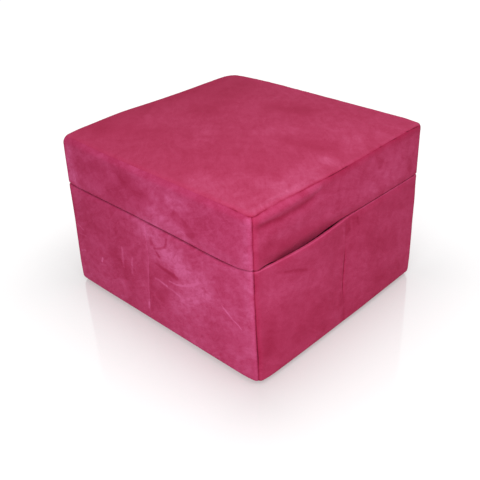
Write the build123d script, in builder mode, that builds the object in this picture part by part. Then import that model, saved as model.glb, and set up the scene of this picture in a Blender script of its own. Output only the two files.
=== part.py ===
from build123d import *
import os
from math import cos, pi, radians, sin

# A padded jewelry box: boards wrapped in wadding and a sewn suede cover, a lid on two stop
# hinges, a mirror in the lid, and a lift-out tray with ring rolls over a divided bottom.
# Millimetres, +Z up, +X right, -Y front. The origin is the middle of the underside.

# Outside sizes, over the cover
width = 200.0
depth = 186.0
base_height = 91.0
lid_height = 39.0
split_gap = 0.6
crown = 2.0

# Layers, from the outside in
cover = 1.2
wadding = 4.0
pressed_wadding = 1.0
wall = 5.0
lining = 0.8
top_wadding = 6.0
lid_board = 4.0
floor_board = 4.0
floor_pad_height = 4.0
underside_thickness = 1.2
underside_inset = 6.0

# Rounding
board_round = 1.0
edge_round = 4.0
top_round = 2.4
hem_fold_round = 0.4
pad_round = 1.5
tray_edge_round = 0.8

# Clearances
ease = 0.15
fit = 0.3
tray_gap = 0.75
lap_gap = 0.15

# Sewn cover: seams, and the slack on the right side
seam_drop = 1.0
middle_seam = 0.0
hem_stand_off = 3.0
hem_sag = 2.6
hem_tuck = 75.0
hem_hollow = 8.0
draw_in_end = 24.0

# Stop hinges
hinge_spacing = 110.0
hinge_width = 26.0
knuckle_count = 5
knuckle_radius = 2.2
knuckle_gap = 0.15
barrel_gap = 0.4
pin_radius = 1.0
pin_clearance = 0.05
pin_head_radius = 1.7
pin_head = 0.8
leaf_gap = 0.1
stop_angle = 100.0
stop_slack = 0.4
lug_height = 2.0
lug_root = 0.6

# Screws and magnets
screw_spacing = 14.0
screw_head_radius = 1.5
screw_radius = 0.75
screw_length = 8.0
screw_tip = 1.2
screw_clearance = 0.05
magnet_spacing = 120.0
magnet_radius = 2.0
magnet_height = 2.5

# Mirror
mirror_border = 16.0
mirror_thickness = 3.0
mirror_lip = 1.5
mirror_overlap = 4.0

# Tray and bottom
tray_recess = 2.0
tray_height = 28.0
tray_floor_thickness = 2.5
tray_wall = 3.0
tray_divider = 2.5
tray_divider_height = 20.0
roll_count = 5
roll_radius = 7.5
roll_flat = 5.0
tab_width = 16.0
tab_rise = 4.0
tab_thickness = 0.7
tab_bend = 0.6
ledge_width = 5.0
ledge_height = 4.0
lower_divider = 3.0
lower_divider_height = 40.0

# Places worked out from the sizes above
shell = cover + wadding
corner_round = shell + board_round
hem_round = cover + hem_fold_round
draw_in = wadding - pressed_wadding
height = base_height + lid_height
top_seam = height - top_round - seam_drop
base_rim = base_height - split_gap / 2
lid_rim = base_height + split_gap / 2
base_board_top = base_rim - cover
lid_board_rim = lid_rim + cover
lid_board_top = height - cover - top_wadding
lid_board_low = lid_board_top - lid_board
floor_low = underside_thickness + cover
floor_top = floor_low + floor_board
pad_top = floor_top + floor_pad_height
board_width = width - 2 * shell
board_depth = depth - 2 * shell
inner_width = board_width - 2 * wall
inner_depth = board_depth - 2 * wall
clear_width = inner_width - 2 * lining
clear_depth = inner_depth - 2 * lining
soft_width = width - 2 * cover - 2 * ease
soft_depth = depth - 2 * cover - 2 * ease
soft_round = corner_round - cover - ease

side_turn = {"right": 0, "back": 90, "left": 180, "front": 270}


def half_reach(side):
    """How far a side's cover stands from the middle."""
    return width / 2 if side in ("left", "right") else depth / 2


def half_run(side):
    """Half of a side's straight run, between its rounded corners."""
    across = depth if side in ("left", "right") else width
    return across / 2 - corner_round


def section(side, along):
    """Upright plane across a side: x points outward from the cover's face and y is height."""
    outward = Vector(1, 0, 0).rotate(Axis.Z, side_turn[side])
    tangent = Vector(0, 1, 0).rotate(Axis.Z, side_turn[side])
    return Plane(origin=outward * half_reach(side) + tangent * along, x_dir=outward, z_dir=-tangent)


def corner_axis(side, corner):
    """Upright axis that a side's section turns about, at the start (-1) or the end (1) of its run."""
    plane = section(side, corner * half_run(side))
    return Axis(plane.origin - plane.x_dir * corner_round, (0, 0, corner))


def base_profile(plane, slack=0.0):
    """Base cover in section: turned under the floor, up the side and in over the rim.

    Slack goes from 0, tight, to 1: the hem stands off, sags, and tucks its turned edge down.
    """
    tuck = hem_tuck * slack
    hem_x = hem_stand_off * slack - hem_round
    hem_y = base_rim - hem_sag * slack - hem_round
    turn_in = shell - hem_round
    fold = (-turn_in * cos(radians(tuck)), -turn_in * sin(radians(tuck)))
    hem_centre = (hem_x, hem_y)
    edge_centre = (-edge_round, underside_thickness + edge_round)
    with BuildSketch(plane) as profile:
        with BuildLine():
            under = Line((-shell, underside_thickness), (-edge_round, underside_thickness))
            edge = CenterArc(edge_centre, edge_round, -90, 90)
            hem = CenterArc(hem_centre, hem_round, 0, 90 + tuck)
            Line(edge @ 1, hem @ 0)
            turned = Line(hem @ 1, (hem @ 1) + Vector(*fold))
            inner_hem = CenterArc(hem_centre, hem_fold_round, 0, 90 + tuck)
            inner_turned = Line(inner_hem @ 1, (inner_hem @ 1) + Vector(*fold))
            Line(turned @ 1, inner_turned @ 1)
            inner_edge = CenterArc(edge_centre, edge_round - cover, -90, 90)
            Line(inner_hem @ 0, inner_edge @ 1)
            inner_under = Line(inner_edge @ 0, (-shell, floor_low))
            Line(inner_under @ 1, under @ 0)
        make_face()
    return profile.sketch


def lid_profile(plane, drawn=0.0):
    """Lid side cover in section, from the top seam down and in under the rim.

    Drawn goes from 0, straight, to 1: the lower band is drawn in against the wadding.
    """
    lean = draw_in * drawn
    hem_centre = (-lean - hem_round, lid_rim + hem_round)
    with BuildSketch(plane) as profile:
        with BuildLine():
            hem = CenterArc(hem_centre, hem_round, -90, 90)
            inner_hem = CenterArc(hem_centre, hem_fold_round, -90, 90)
            side_face = Line(hem @ 1, (0, top_seam))
            inner_face = Line(inner_hem @ 1, (-cover, top_seam))
            Line(side_face @ 1, inner_face @ 1)
            turned = Line(hem @ 0, (-shell, lid_rim))
            inner_turned = Line(inner_hem @ 0, (-shell, lid_board_rim))
            Line(turned @ 1, inner_turned @ 1)
        make_face()
    return profile.sketch


def cover_panel(profile, side, first, last, corners):
    """Straight run of a cover section, turned half-way round the named corners to their seams."""
    start = section(side, last)
    with BuildPart() as panel:
        extrude(profile(start), amount=last - first, dir=start.z_dir)
        for corner in corners:
            end_face = profile(section(side, corner * half_run(side))).faces()
            revolve(end_face, axis=corner_axis(side, corner), revolution_arc=45)
    return panel


def whole_panel(profile, side):
    """Cover panel of a whole side, from seam to seam."""
    return cover_panel(profile, side, -half_run(side), half_run(side), (-1, 1))


def wall_board(side, low, high):
    """Side board: front and back run the full width, left and right fit between them."""
    across = board_width if side in ("front", "back") else inner_depth
    middle = half_reach(side) - shell - wall / 2
    plane = section(side, 0)
    with BuildPart() as board:
        with BuildSketch(Plane(plane.origin + Vector(0, 0, low), x_dir=plane.x_dir, z_dir=(0, 0, 1))):
            with Locations((middle - half_reach(side), 0)):
                Rectangle(wall, across)
        extrude(amount=high - low)
        if side in ("front", "back"):
            outer = board.edges().filter_by(Axis.Z).sort_by(Axis(plane.origin, plane.x_dir))[-2:]
            fillet(outer, board_round)
    return board


def soft_ring(low, high):
    """Wadding wrapped round the boards, just inside the cover."""
    with BuildPart() as ring:
        with BuildSketch(Plane.XY.offset(low)):
            RectangleRounded(soft_width, soft_depth, soft_round)
            RectangleRounded(board_width, board_depth, board_round, mode=Mode.SUBTRACT)
        extrude(amount=high - low)
    return ring


def box_between(low, high, mode=Mode.ADD):
    """Box from its lowest to its highest corner."""
    low, high = Vector(*low), Vector(*high)
    with Locations((low + high) / 2):
        Box(*(high - low), mode=mode)


def crown_pillow(level):
    """Shallow pillow that crowns the lid's padded top: rounded outlines that shrink as they rise."""
    steps = ((0.74, 0.55, 0.3), (0.42, 0.88, 0.35), (0.12, 1.0, 0.4))
    with BuildPart() as pillow:
        with BuildSketch(Plane.XY.offset(level)):
            RectangleRounded(board_width, board_depth, board_round)
        for share, rise, corner in steps:
            long, short = board_width * share, board_depth * share
            with BuildSketch(Plane.XY.offset(level + crown * rise)):
                RectangleRounded(long, short, min(long, short) * corner)
        loft()
    return pillow


def padded_top(low, inset):
    """Upper part of the lid's outside form, inset by the layers over it, with its crown."""
    with BuildPart() as form:
        with BuildSketch(Plane.XY.offset(low)):
            RectangleRounded(width - 2 * inset, depth - 2 * inset, corner_round - inset)
        extrude(amount=height - inset - low)
        fillet(form.faces().sort_by(Axis.Z)[-1].edges(), top_round - inset)
        add(crown_pillow(height - inset).part)
    return form


# Underside sheet, floor and wall boards of the base

with BuildPart() as underside_sheet:
    with BuildSketch():
        RectangleRounded(width - 2 * underside_inset, depth - 2 * underside_inset, corner_round)
    extrude(amount=underside_thickness)

with BuildPart() as base_floor:
    with BuildSketch(Plane.XY.offset(floor_low)):
        RectangleRounded(board_width, board_depth, board_round)
    extrude(amount=floor_board)

wall_middle = board_depth / 2 - wall / 2
magnet_places = [(x, -wall_middle) for x in (-magnet_spacing / 2, magnet_spacing / 2)]
hinge_middles = (-hinge_spacing / 2, hinge_spacing / 2)
screw_places = [
    (middle + offset, wall_middle)
    for middle in hinge_middles
    for offset in (-screw_spacing / 2, screw_spacing / 2)
]
upward = Plane.XY.offset(base_board_top)
downward = Plane((0, 0, lid_board_rim), x_dir=(1, 0, 0), z_dir=(0, 0, -1))


def drill(board, face, places, radius, hole_depth):
    """Blind holes in a board's rim."""
    with BuildPart() as drilled:
        add(board.part)
        for x, y in places:
            with Locations(Plane((x, y, face.origin.Z), x_dir=(1, 0, 0), z_dir=face.z_dir)):
                Hole(radius, hole_depth)
    return drilled


base_wall_front = drill(
    wall_board("front", floor_top, base_board_top),
    upward, magnet_places, magnet_radius + screw_clearance, magnet_height,
)
base_wall_back = drill(
    wall_board("back", floor_top, base_board_top),
    upward, screw_places, screw_radius + screw_clearance, screw_length,
)
base_wall_left = wall_board("left", floor_top, base_board_top)
base_wall_right = wall_board("right", floor_top, base_board_top)

# Wadding of the base, which stops short behind the slack hem

slack_first = -half_run("right")

with BuildPart() as base_wadding:
    add(soft_ring(floor_low + ease, base_board_top - ease).part)
    lower_outline = base_wadding.faces().sort_by(Axis.Z)[0].outer_wire()
    fillet(lower_outline.edges(), edge_round - cover - ease)
    box_between(
        (board_width / 2, slack_first, base_board_top - hem_hollow),
        (width / 2, middle_seam, base_rim),
        mode=Mode.SUBTRACT,
    )

# Sewn cover of the base

notch_half = hinge_width / 2 + fit
base_cover_front = whole_panel(base_profile, "front")
base_cover_left = whole_panel(base_profile, "left")
base_cover_right_rear = cover_panel(base_profile, "right", middle_seam, half_run("right"), (1,))

with BuildPart() as base_cover_back:
    add(whole_panel(base_profile, "back").part)
    for middle in hinge_middles:
        box_between(
            (middle - notch_half, board_depth / 2 - fit, base_board_top),
            (middle + notch_half, depth / 2 + fit, base_rim + fit),
            mode=Mode.SUBTRACT,
        )

slack_steps = (0.0, 0.15, 0.32, 0.5, 0.68, 0.85, 1.0)

with BuildPart() as base_cover_right_front:
    for step in slack_steps:
        along = slack_first + (middle_seam - slack_first) * step
        add(base_profile(section("right", along), sin(pi * step)))
    loft()
    revolve(
        base_profile(section("right", slack_first)).faces(),
        axis=corner_axis("right", -1),
        revolution_arc=45,
    )

# Lining, floor pad, dividers and tray ledges inside the base


def lining_ring(rim, rim_out, low, high):
    """Lining glued round the inside of the walls and turned out over their rims."""
    with BuildPart() as ring:
        with BuildSketch(Plane.XY.offset(low)):
            Rectangle(inner_width, inner_depth)
            Rectangle(clear_width, clear_depth, mode=Mode.SUBTRACT)
        extrude(amount=high - low)
        with BuildSketch(Plane.XY.offset(rim)):
            RectangleRounded(board_width, board_depth, board_round)
            Rectangle(clear_width, clear_depth, mode=Mode.SUBTRACT)
        extrude(amount=rim_out * lining)
        for middle in hinge_middles:
            box_between(
                (middle - notch_half, inner_depth / 2, rim - lining),
                (middle + notch_half, board_depth / 2 + fit, rim + lining),
                mode=Mode.SUBTRACT,
            )
    return ring


base_lining = lining_ring(base_board_top, 1, floor_top, base_board_top)

with BuildPart() as floor_pad:
    with BuildSketch(Plane.XY.offset(floor_top)):
        Rectangle(clear_width - 2 * fit, clear_depth - 2 * fit)
    extrude(amount=floor_pad_height)
    fillet(floor_pad.faces().sort_by(Axis.Z)[-1].edges(), pad_round)

tray_top = base_rim - tray_recess
tray_low = tray_top - tray_height
divider_top = pad_top + lower_divider_height
lap_level = pad_top + lower_divider_height / 2
lap_half = lower_divider / 2 + lap_gap

with BuildPart() as lower_divider_long:
    box_between(
        (-clear_width / 2 + fit, -lower_divider / 2, pad_top),
        (clear_width / 2 - fit, lower_divider / 2, divider_top),
    )
    box_between(
        (-lap_half, -lower_divider, lap_level),
        (lap_half, lower_divider, divider_top + fit),
        mode=Mode.SUBTRACT,
    )

with BuildPart() as lower_divider_cross:
    box_between(
        (-lower_divider / 2, -clear_depth / 2 + fit, pad_top),
        (lower_divider / 2, clear_depth / 2 - fit, divider_top),
    )
    box_between(
        (-lower_divider, -lap_half, pad_top - fit),
        (lower_divider, lap_half, lap_level),
        mode=Mode.SUBTRACT,
    )


def tray_ledge(hand):
    """Strip on a side wall that the tray rests on. Hand is -1 for left and 1 for right."""
    with BuildPart() as ledge:
        with Locations((hand * (clear_width - ledge_width) / 2, 0, tray_low - ledge_height / 2)):
            Box(ledge_width, clear_depth - 2 * fit, ledge_height)
    return ledge


tray_ledge_left = tray_ledge(-1)
tray_ledge_right = tray_ledge(1)

# Catch plates in the front rim, and the magnets above them


def discs(face):
    """A pair of discs let into a front rim."""
    with BuildPart() as pair:
        for x, y in magnet_places:
            with BuildSketch(Plane((x, y, face.origin.Z), x_dir=(1, 0, 0), z_dir=face.z_dir)):
                Circle(magnet_radius)
        extrude(amount=-magnet_height)
    return pair


catch_plates = discs(upward)
lid_magnets = discs(downward)

# Stop hinges: leaves, pins and screws

hinge_y = depth / 2 + barrel_gap + knuckle_radius
leaf_thickness = cover + split_gap / 2 - leaf_gap / 2
knuckle_pitch = hinge_width / knuckle_count
hinge_centre = (hinge_y, base_height)


def lug_face(plane, upper, inner_radius):
    """Part of a ring behind the barrel, which meets the other leaf's at the stop angle."""
    first = stop_angle / 2 + stop_slack if upper else -90
    span = 90 - stop_angle / 2 - stop_slack
    with BuildSketch(plane) as lug:
        with BuildLine():
            outer = CenterArc(hinge_centre, knuckle_radius + lug_height, first, span)
            inner = CenterArc(hinge_centre, inner_radius, first, span)
            Line(outer @ 0, inner @ 0)
            Line(outer @ 1, inner @ 1)
        make_face()
    return lug.sketch


def hinge_leaf(middle, upper):
    """Leaf let into the rim, with its share of the knuckles and the lug that stops the lid."""
    start = middle - hinge_width / 2
    outward = 1 if upper else -1
    face = base_height + outward * leaf_gap / 2
    own = [i for i in range(knuckle_count) if (i % 2 == 1) == upper]
    mates = [i for i in range(knuckle_count) if (i % 2 == 1) != upper]
    levels = sorted((face, face + outward * leaf_thickness))
    with BuildPart() as leaf:
        box_between(
            (start, inner_depth / 2, levels[0]),
            (start + hinge_width, hinge_y, levels[1]),
        )
        for i in mates:
            with BuildSketch(Plane.YZ.offset(start + i * knuckle_pitch - knuckle_gap)):
                with Locations(hinge_centre):
                    Circle(knuckle_radius + knuckle_gap)
            extrude(amount=knuckle_pitch + 2 * knuckle_gap, mode=Mode.SUBTRACT)
        extrude(
            lug_face(Plane.YZ.offset(start), upper, knuckle_radius + knuckle_gap),
            amount=hinge_width, dir=(1, 0, 0),
        )
        for i in own:
            plane = Plane.YZ.offset(start + i * knuckle_pitch)
            with BuildSketch(plane):
                with Locations(hinge_centre):
                    Circle(knuckle_radius)
            extrude(amount=knuckle_pitch)
            root = lug_face(plane, upper, knuckle_radius - lug_root)
            extrude(root, amount=knuckle_pitch, dir=(1, 0, 0))
        with BuildSketch(Plane.YZ.offset(start)):
            with Locations(hinge_centre):
                Circle(pin_radius + pin_clearance)
        extrude(amount=hinge_width, mode=Mode.SUBTRACT)
        for offset in (-screw_spacing / 2, screw_spacing / 2):
            hole = Plane((middle + offset, wall_middle, face), x_dir=(1, 0, 0), z_dir=(0, 0, -outward))
            with Locations(hole):
                CounterSinkHole(
                    screw_radius + screw_clearance,
                    screw_head_radius + screw_clearance,
                    counter_sink_angle=90,
                )
    return leaf


def hinge_pin(middle):
    """Pin with a flat head at each end."""
    half = hinge_width / 2 + knuckle_gap
    with BuildPart() as pin:
        for radius, reach in ((pin_radius, half), (pin_head_radius, half + pin_head)):
            with BuildSketch(Plane.YZ.offset(middle - reach)):
                with Locations(hinge_centre):
                    Circle(radius)
            extrude(amount=2 * reach)
        with BuildSketch(Plane.YZ.offset(middle - half)):
            with Locations(hinge_centre):
                Circle(pin_head_radius)
                Circle(pin_radius, mode=Mode.SUBTRACT)
        extrude(amount=2 * half, mode=Mode.SUBTRACT)
    return pin


with BuildPart() as screw:
    with BuildSketch(Plane.XZ):
        with BuildLine():
            Polyline(
                (0, 0),
                (screw_head_radius, 0),
                (screw_radius, screw_radius - screw_head_radius),
                (screw_radius, screw_tip - screw_length),
                (0, -screw_length),
                close=True,
            )
        make_face()
    revolve(axis=Axis.Z)


def screws(face_height, way):
    """Countersunk screws of both hinges, heads flush with the leaf. Way is 1 for heads up."""
    with BuildPart() as group:
        for x, y in screw_places:
            with Locations(Plane((x, y, face_height), x_dir=(1, 0, 0), z_dir=(0, 0, way))):
                add(screw.part)
    return group


hinge_base_leaf_left, hinge_base_leaf_right = (hinge_leaf(x, False) for x in hinge_middles)
hinge_lid_leaf_left, hinge_lid_leaf_right = (hinge_leaf(x, True) for x in hinge_middles)
hinge_pin_left, hinge_pin_right = (hinge_pin(x) for x in hinge_middles)
hinge_base_screws = screws(base_height - leaf_gap / 2, 1)
hinge_lid_screws = screws(base_height + leaf_gap / 2, -1)

# Boards, wadding and lining of the lid

with BuildPart() as lid_top_board:
    with BuildSketch(Plane.XY.offset(lid_board_low)):
        RectangleRounded(board_width, board_depth, board_round)
    extrude(amount=lid_board)

lid_wall_front = drill(
    wall_board("front", lid_board_rim, lid_board_low),
    downward, magnet_places, magnet_radius + screw_clearance, magnet_height,
)
lid_wall_back = drill(
    wall_board("back", lid_board_rim, lid_board_low),
    downward, screw_places, screw_radius + screw_clearance, screw_length,
)
lid_wall_left = wall_board("left", lid_board_rim, lid_board_low)
lid_wall_right = wall_board("right", lid_board_rim, lid_board_low)


def cleared_for_drawn_cover(piece):
    """Wadding cut back on the right side, where the lid's cover is drawn in."""
    with BuildPart() as cleared:
        add(piece.part)
        with BuildSketch(section("right", draw_in_end)):
            with BuildLine():
                Polyline(
                    (-cover - ease, top_seam),
                    (-cover - ease - draw_in, lid_rim + hem_round),
                    (-cover - ease - draw_in, lid_rim),
                    (cover, lid_rim),
                    (cover, top_seam),
                    close=True,
                )
            make_face()
        extrude(amount=draw_in_end - slack_first, mode=Mode.SUBTRACT)
    return cleared


lid_top_wadding = cleared_for_drawn_cover(padded_top(lid_board_top, cover + ease))
lid_side_wadding = cleared_for_drawn_cover(soft_ring(lid_board_rim + ease, lid_board_top))

frame_low = lid_board_low - mirror_thickness - mirror_lip
lid_lining = lining_ring(lid_board_rim, -1, lid_board_rim, frame_low)

# Sewn cover of the lid

lid_cover_front = whole_panel(lid_profile, "front")
lid_cover_left = whole_panel(lid_profile, "left")

with BuildPart() as lid_cover_back:
    add(whole_panel(lid_profile, "back").part)
    for middle in hinge_middles:
        box_between(
            (middle - notch_half, board_depth / 2 - fit, lid_rim - fit),
            (middle + notch_half, depth / 2 + fit, lid_board_rim),
            mode=Mode.SUBTRACT,
        )

with BuildPart() as lid_cover_right:
    add(cover_panel(lid_profile, "right", draw_in_end, half_run("right"), (1,)).part)
    for step in slack_steps:
        along = slack_first + (draw_in_end - slack_first) * step
        add(lid_profile(section("right", along), sin(pi * step)))
    loft()
    revolve(
        lid_profile(section("right", slack_first)).faces(),
        axis=corner_axis("right", -1),
        revolution_arc=45,
    )

with BuildPart() as lid_cover_top:
    add(padded_top(top_seam, 0).part)
    add(padded_top(top_seam, cover).part, mode=Mode.SUBTRACT)

# Mirror and its frame, under the lid's top board

frame_width = clear_width - 2 * fit
frame_depth = clear_depth - 2 * fit
mirror_width = frame_width - 2 * mirror_border
mirror_depth = frame_depth - 2 * mirror_border

with BuildPart() as mirror_frame:
    with BuildSketch(Plane.XY.offset(frame_low)):
        Rectangle(frame_width, frame_depth)
        Rectangle(
            mirror_width - 2 * mirror_overlap, mirror_depth - 2 * mirror_overlap, mode=Mode.SUBTRACT
        )
    extrude(amount=lid_board_low - frame_low)
    with BuildSketch(Plane.XY.offset(frame_low + mirror_lip)):
        Rectangle(mirror_width + 2 * fit, mirror_depth + 2 * fit)
    extrude(amount=mirror_thickness, mode=Mode.SUBTRACT)

with BuildPart() as mirror:
    with BuildSketch(Plane.XY.offset(frame_low + mirror_lip)):
        Rectangle(mirror_width, mirror_depth)
    extrude(amount=mirror_thickness)

# Lift-out tray: floor, walls and dividers

tray_width = clear_width - 2 * tray_gap
tray_depth = clear_depth - 2 * tray_gap
tray_floor_top = tray_low + tray_floor_thickness
tray_inner_width = tray_width - 2 * tray_wall
tray_inner_depth = tray_depth - 2 * tray_wall
tray_divider_top = tray_floor_top + tray_divider_height
roll_pitch = 2 * roll_radius + fit
roll_bank = roll_count * roll_pitch + fit
bank_back = -tray_inner_depth / 2 + roll_bank
cell_width = (tray_inner_width - 2 * tray_divider) / 3

with BuildPart() as tray_floor:
    with BuildSketch(Plane.XY.offset(tray_low)):
        RectangleRounded(tray_width, tray_depth, tray_edge_round)
    extrude(amount=tray_floor_thickness)


def tray_long_wall(way):
    """Front (-1) or back (1) wall of the tray, across its full width."""
    with BuildPart() as long_wall:
        with BuildSketch(Plane.XY.offset(tray_floor_top)):
            with Locations((0, way * (tray_depth - tray_wall) / 2)):
                Rectangle(tray_width, tray_wall)
        extrude(amount=tray_top - tray_floor_top)
        upright = long_wall.edges().filter_by(Axis.Z).sort_by(Axis.Y)
        fillet(upright[-2:] if way > 0 else upright[:2], tray_edge_round)
        fillet(long_wall.faces().sort_by(Axis.Z)[-1].edges().filter_by(Axis.X), tray_edge_round)
    return long_wall


def tray_side_wall(hand):
    """Left (-1) or right (1) wall of the tray, between the long walls."""
    with BuildPart() as side_wall:
        with BuildSketch(Plane.XY.offset(tray_floor_top)):
            with Locations((hand * (tray_width - tray_wall) / 2, 0)):
                Rectangle(tray_wall, tray_inner_depth)
        extrude(amount=tray_top - tray_floor_top)
        fillet(side_wall.faces().sort_by(Axis.Z)[-1].edges().filter_by(Axis.Y), tray_edge_round)
    return side_wall


tray_wall_front = tray_long_wall(-1)
tray_wall_back = tray_long_wall(1)
tray_wall_left = tray_side_wall(-1)
tray_wall_right = tray_side_wall(1)

with BuildPart() as tray_divider_long:
    box_between(
        (-tray_inner_width / 2, bank_back, tray_floor_top),
        (tray_inner_width / 2, bank_back + tray_divider, tray_divider_top),
    )
    fillet(tray_divider_long.faces().sort_by(Axis.Z)[-1].edges().filter_by(Axis.X), tray_edge_round)


def tray_cross_divider(hand):
    """Short divider from the long one to the back wall, one on each side of the middle cell."""
    with BuildPart() as cross:
        box_between(
            (hand * (cell_width + tray_divider) / 2 - tray_divider / 2,
             bank_back + tray_divider, tray_floor_top),
            (hand * (cell_width + tray_divider) / 2 + tray_divider / 2,
             tray_inner_depth / 2, tray_divider_top),
        )
        fillet(cross.faces().sort_by(Axis.Z)[-1].edges().filter_by(Axis.Y), tray_edge_round)
    return cross


tray_divider_cross_left = tray_cross_divider(-1)
tray_divider_cross_right = tray_cross_divider(1)

# Ring rolls and pull tabs of the tray

with BuildPart() as ring_rolls:
    for i in range(roll_count):
        roll_y = -tray_inner_depth / 2 + fit + roll_radius + i * roll_pitch
        with BuildSketch(Plane.YZ.offset(-tray_inner_width / 2 + fit)):
            with Locations((roll_y, tray_floor_top + roll_flat)):
                Circle(roll_radius)
            with Locations((roll_y, tray_floor_top - roll_radius)):
                Rectangle(4 * roll_radius, 2 * roll_radius, mode=Mode.SUBTRACT)
        extrude(amount=tray_inner_width - 2 * fit)


def tray_tab(hand):
    """Ribbon loop on a side wall's inner face, to lift the tray by."""
    outer = tab_bend + tab_thickness
    bend_level = tray_top + tab_rise - outer
    leg = bend_level - tray_divider_top - fit
    middle = hand * (tray_inner_width / 2 - outer)
    with BuildPart() as tab:
        with BuildSketch(Plane.XZ):
            with Locations((middle, bend_level)):
                Circle(outer)
                Rectangle(2 * outer, leg, align=(Align.CENTER, Align.MAX))
            with Locations((middle, bend_level)):
                Circle(tab_bend, mode=Mode.SUBTRACT)
                Rectangle(2 * tab_bend, leg, align=(Align.CENTER, Align.MAX), mode=Mode.SUBTRACT)
        extrude(amount=tab_width / 2, both=True)
    return tab


tray_tab_left = tray_tab(-1)
tray_tab_right = tray_tab(1)

# Write every piece

pieces = {
    "underside_sheet": underside_sheet,
    "base_floor": base_floor,
    "base_wall_front": base_wall_front,
    "base_wall_back": base_wall_back,
    "base_wall_left": base_wall_left,
    "base_wall_right": base_wall_right,
    "base_wadding": base_wadding,
    "base_cover_front": base_cover_front,
    "base_cover_left": base_cover_left,
    "base_cover_back": base_cover_back,
    "base_cover_right_front": base_cover_right_front,
    "base_cover_right_rear": base_cover_right_rear,
    "base_lining": base_lining,
    "floor_pad": floor_pad,
    "lower_divider_long": lower_divider_long,
    "lower_divider_cross": lower_divider_cross,
    "tray_ledge_left": tray_ledge_left,
    "tray_ledge_right": tray_ledge_right,
    "catch_plates": catch_plates,
    "hinge_base_leaf_left": hinge_base_leaf_left,
    "hinge_base_leaf_right": hinge_base_leaf_right,
    "hinge_pin_left": hinge_pin_left,
    "hinge_pin_right": hinge_pin_right,
    "hinge_base_screws": hinge_base_screws,
    "lid_top_board": lid_top_board,
    "lid_wall_front": lid_wall_front,
    "lid_wall_back": lid_wall_back,
    "lid_wall_left": lid_wall_left,
    "lid_wall_right": lid_wall_right,
    "lid_top_wadding": lid_top_wadding,
    "lid_side_wadding": lid_side_wadding,
    "lid_cover_top": lid_cover_top,
    "lid_cover_front": lid_cover_front,
    "lid_cover_left": lid_cover_left,
    "lid_cover_back": lid_cover_back,
    "lid_cover_right": lid_cover_right,
    "lid_lining": lid_lining,
    "mirror": mirror,
    "mirror_frame": mirror_frame,
    "lid_magnets": lid_magnets,
    "hinge_lid_leaf_left": hinge_lid_leaf_left,
    "hinge_lid_leaf_right": hinge_lid_leaf_right,
    "hinge_lid_screws": hinge_lid_screws,
    "tray_floor": tray_floor,
    "tray_wall_front": tray_wall_front,
    "tray_wall_back": tray_wall_back,
    "tray_wall_left": tray_wall_left,
    "tray_wall_right": tray_wall_right,
    "tray_divider_long": tray_divider_long,
    "tray_divider_cross_left": tray_divider_cross_left,
    "tray_divider_cross_right": tray_divider_cross_right,
    "ring_rolls": ring_rolls,
    "tray_tab_left": tray_tab_left,
    "tray_tab_right": tray_tab_right,
}

os.makedirs("parts", exist_ok=True)
for name, piece in pieces.items():
    piece.part.label = name
    export_step(piece.part, f"parts/{name}.step")
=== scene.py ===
"""Looks of a padded suede box with a hinged lid and a lift-out tray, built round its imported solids."""

import math

import bmesh
import bpy
import numpy as np
from mathutils import Matrix, Vector


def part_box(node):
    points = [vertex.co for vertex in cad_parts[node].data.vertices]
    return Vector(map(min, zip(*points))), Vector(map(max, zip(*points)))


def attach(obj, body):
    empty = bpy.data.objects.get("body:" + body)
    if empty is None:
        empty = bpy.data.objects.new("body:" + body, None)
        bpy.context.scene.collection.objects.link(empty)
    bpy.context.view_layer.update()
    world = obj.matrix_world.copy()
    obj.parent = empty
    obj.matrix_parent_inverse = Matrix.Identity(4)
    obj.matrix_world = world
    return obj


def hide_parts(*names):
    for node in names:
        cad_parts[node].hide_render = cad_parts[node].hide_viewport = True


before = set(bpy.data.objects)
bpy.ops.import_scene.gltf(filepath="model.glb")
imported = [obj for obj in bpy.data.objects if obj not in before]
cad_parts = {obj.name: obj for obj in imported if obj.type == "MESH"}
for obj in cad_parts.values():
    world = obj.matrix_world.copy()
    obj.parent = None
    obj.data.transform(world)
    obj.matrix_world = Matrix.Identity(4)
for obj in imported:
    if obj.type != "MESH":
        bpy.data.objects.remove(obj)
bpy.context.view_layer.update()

# Sizes in millimetres, as the solids have them

MM = 0.001
HALF_WIDTH = 100.0
HALF_DEPTH = 93.0
HEIGHT = 130.0
CROWN = 2.0
CORNER_ROUND = 6.2
SHELL = 5.2
COVER = 1.2
BASE_RIM = 90.7
LID_RIM = 91.3
UNDERSIDE = 1.2
EDGE_ROUND = 4.0

# Inside sizes in millimetres, as the solids have them

BOARD_X = 94.8
CLEAR_X = 89.0
CLEAR_Y = 82.0
LINING = 0.8
LINING_CORNER = 1.2
FLOOR_TOP = 6.4
PAD_TOP = 10.4
BASE_BOARD_TOP = 89.5
LID_BOARD_RIM = 92.5
LID_BOARD_TOP = 122.8
FRAME_LOW = 114.3
HINGE_PLACE = 55.0
HINGE_HALF = 13.3
TRAY_FLOOR = 63.2
ROLL_ROUND = 7.5
ROLL_HALF = 7.63
ROLL_FLAT = 5.0
ROLL_REACH = 84.8
ROLL_FIRST = -70.45
ROLL_PITCH = 15.3
TAB_OUTER = 1.3
TAB_THICK = 0.6
FELT_INSET = 6.0
BASE_WADDING = (2.6, 88.9)
LID_WADDING = (93.0, 122.6)

# The sewn cover's own forms

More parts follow.
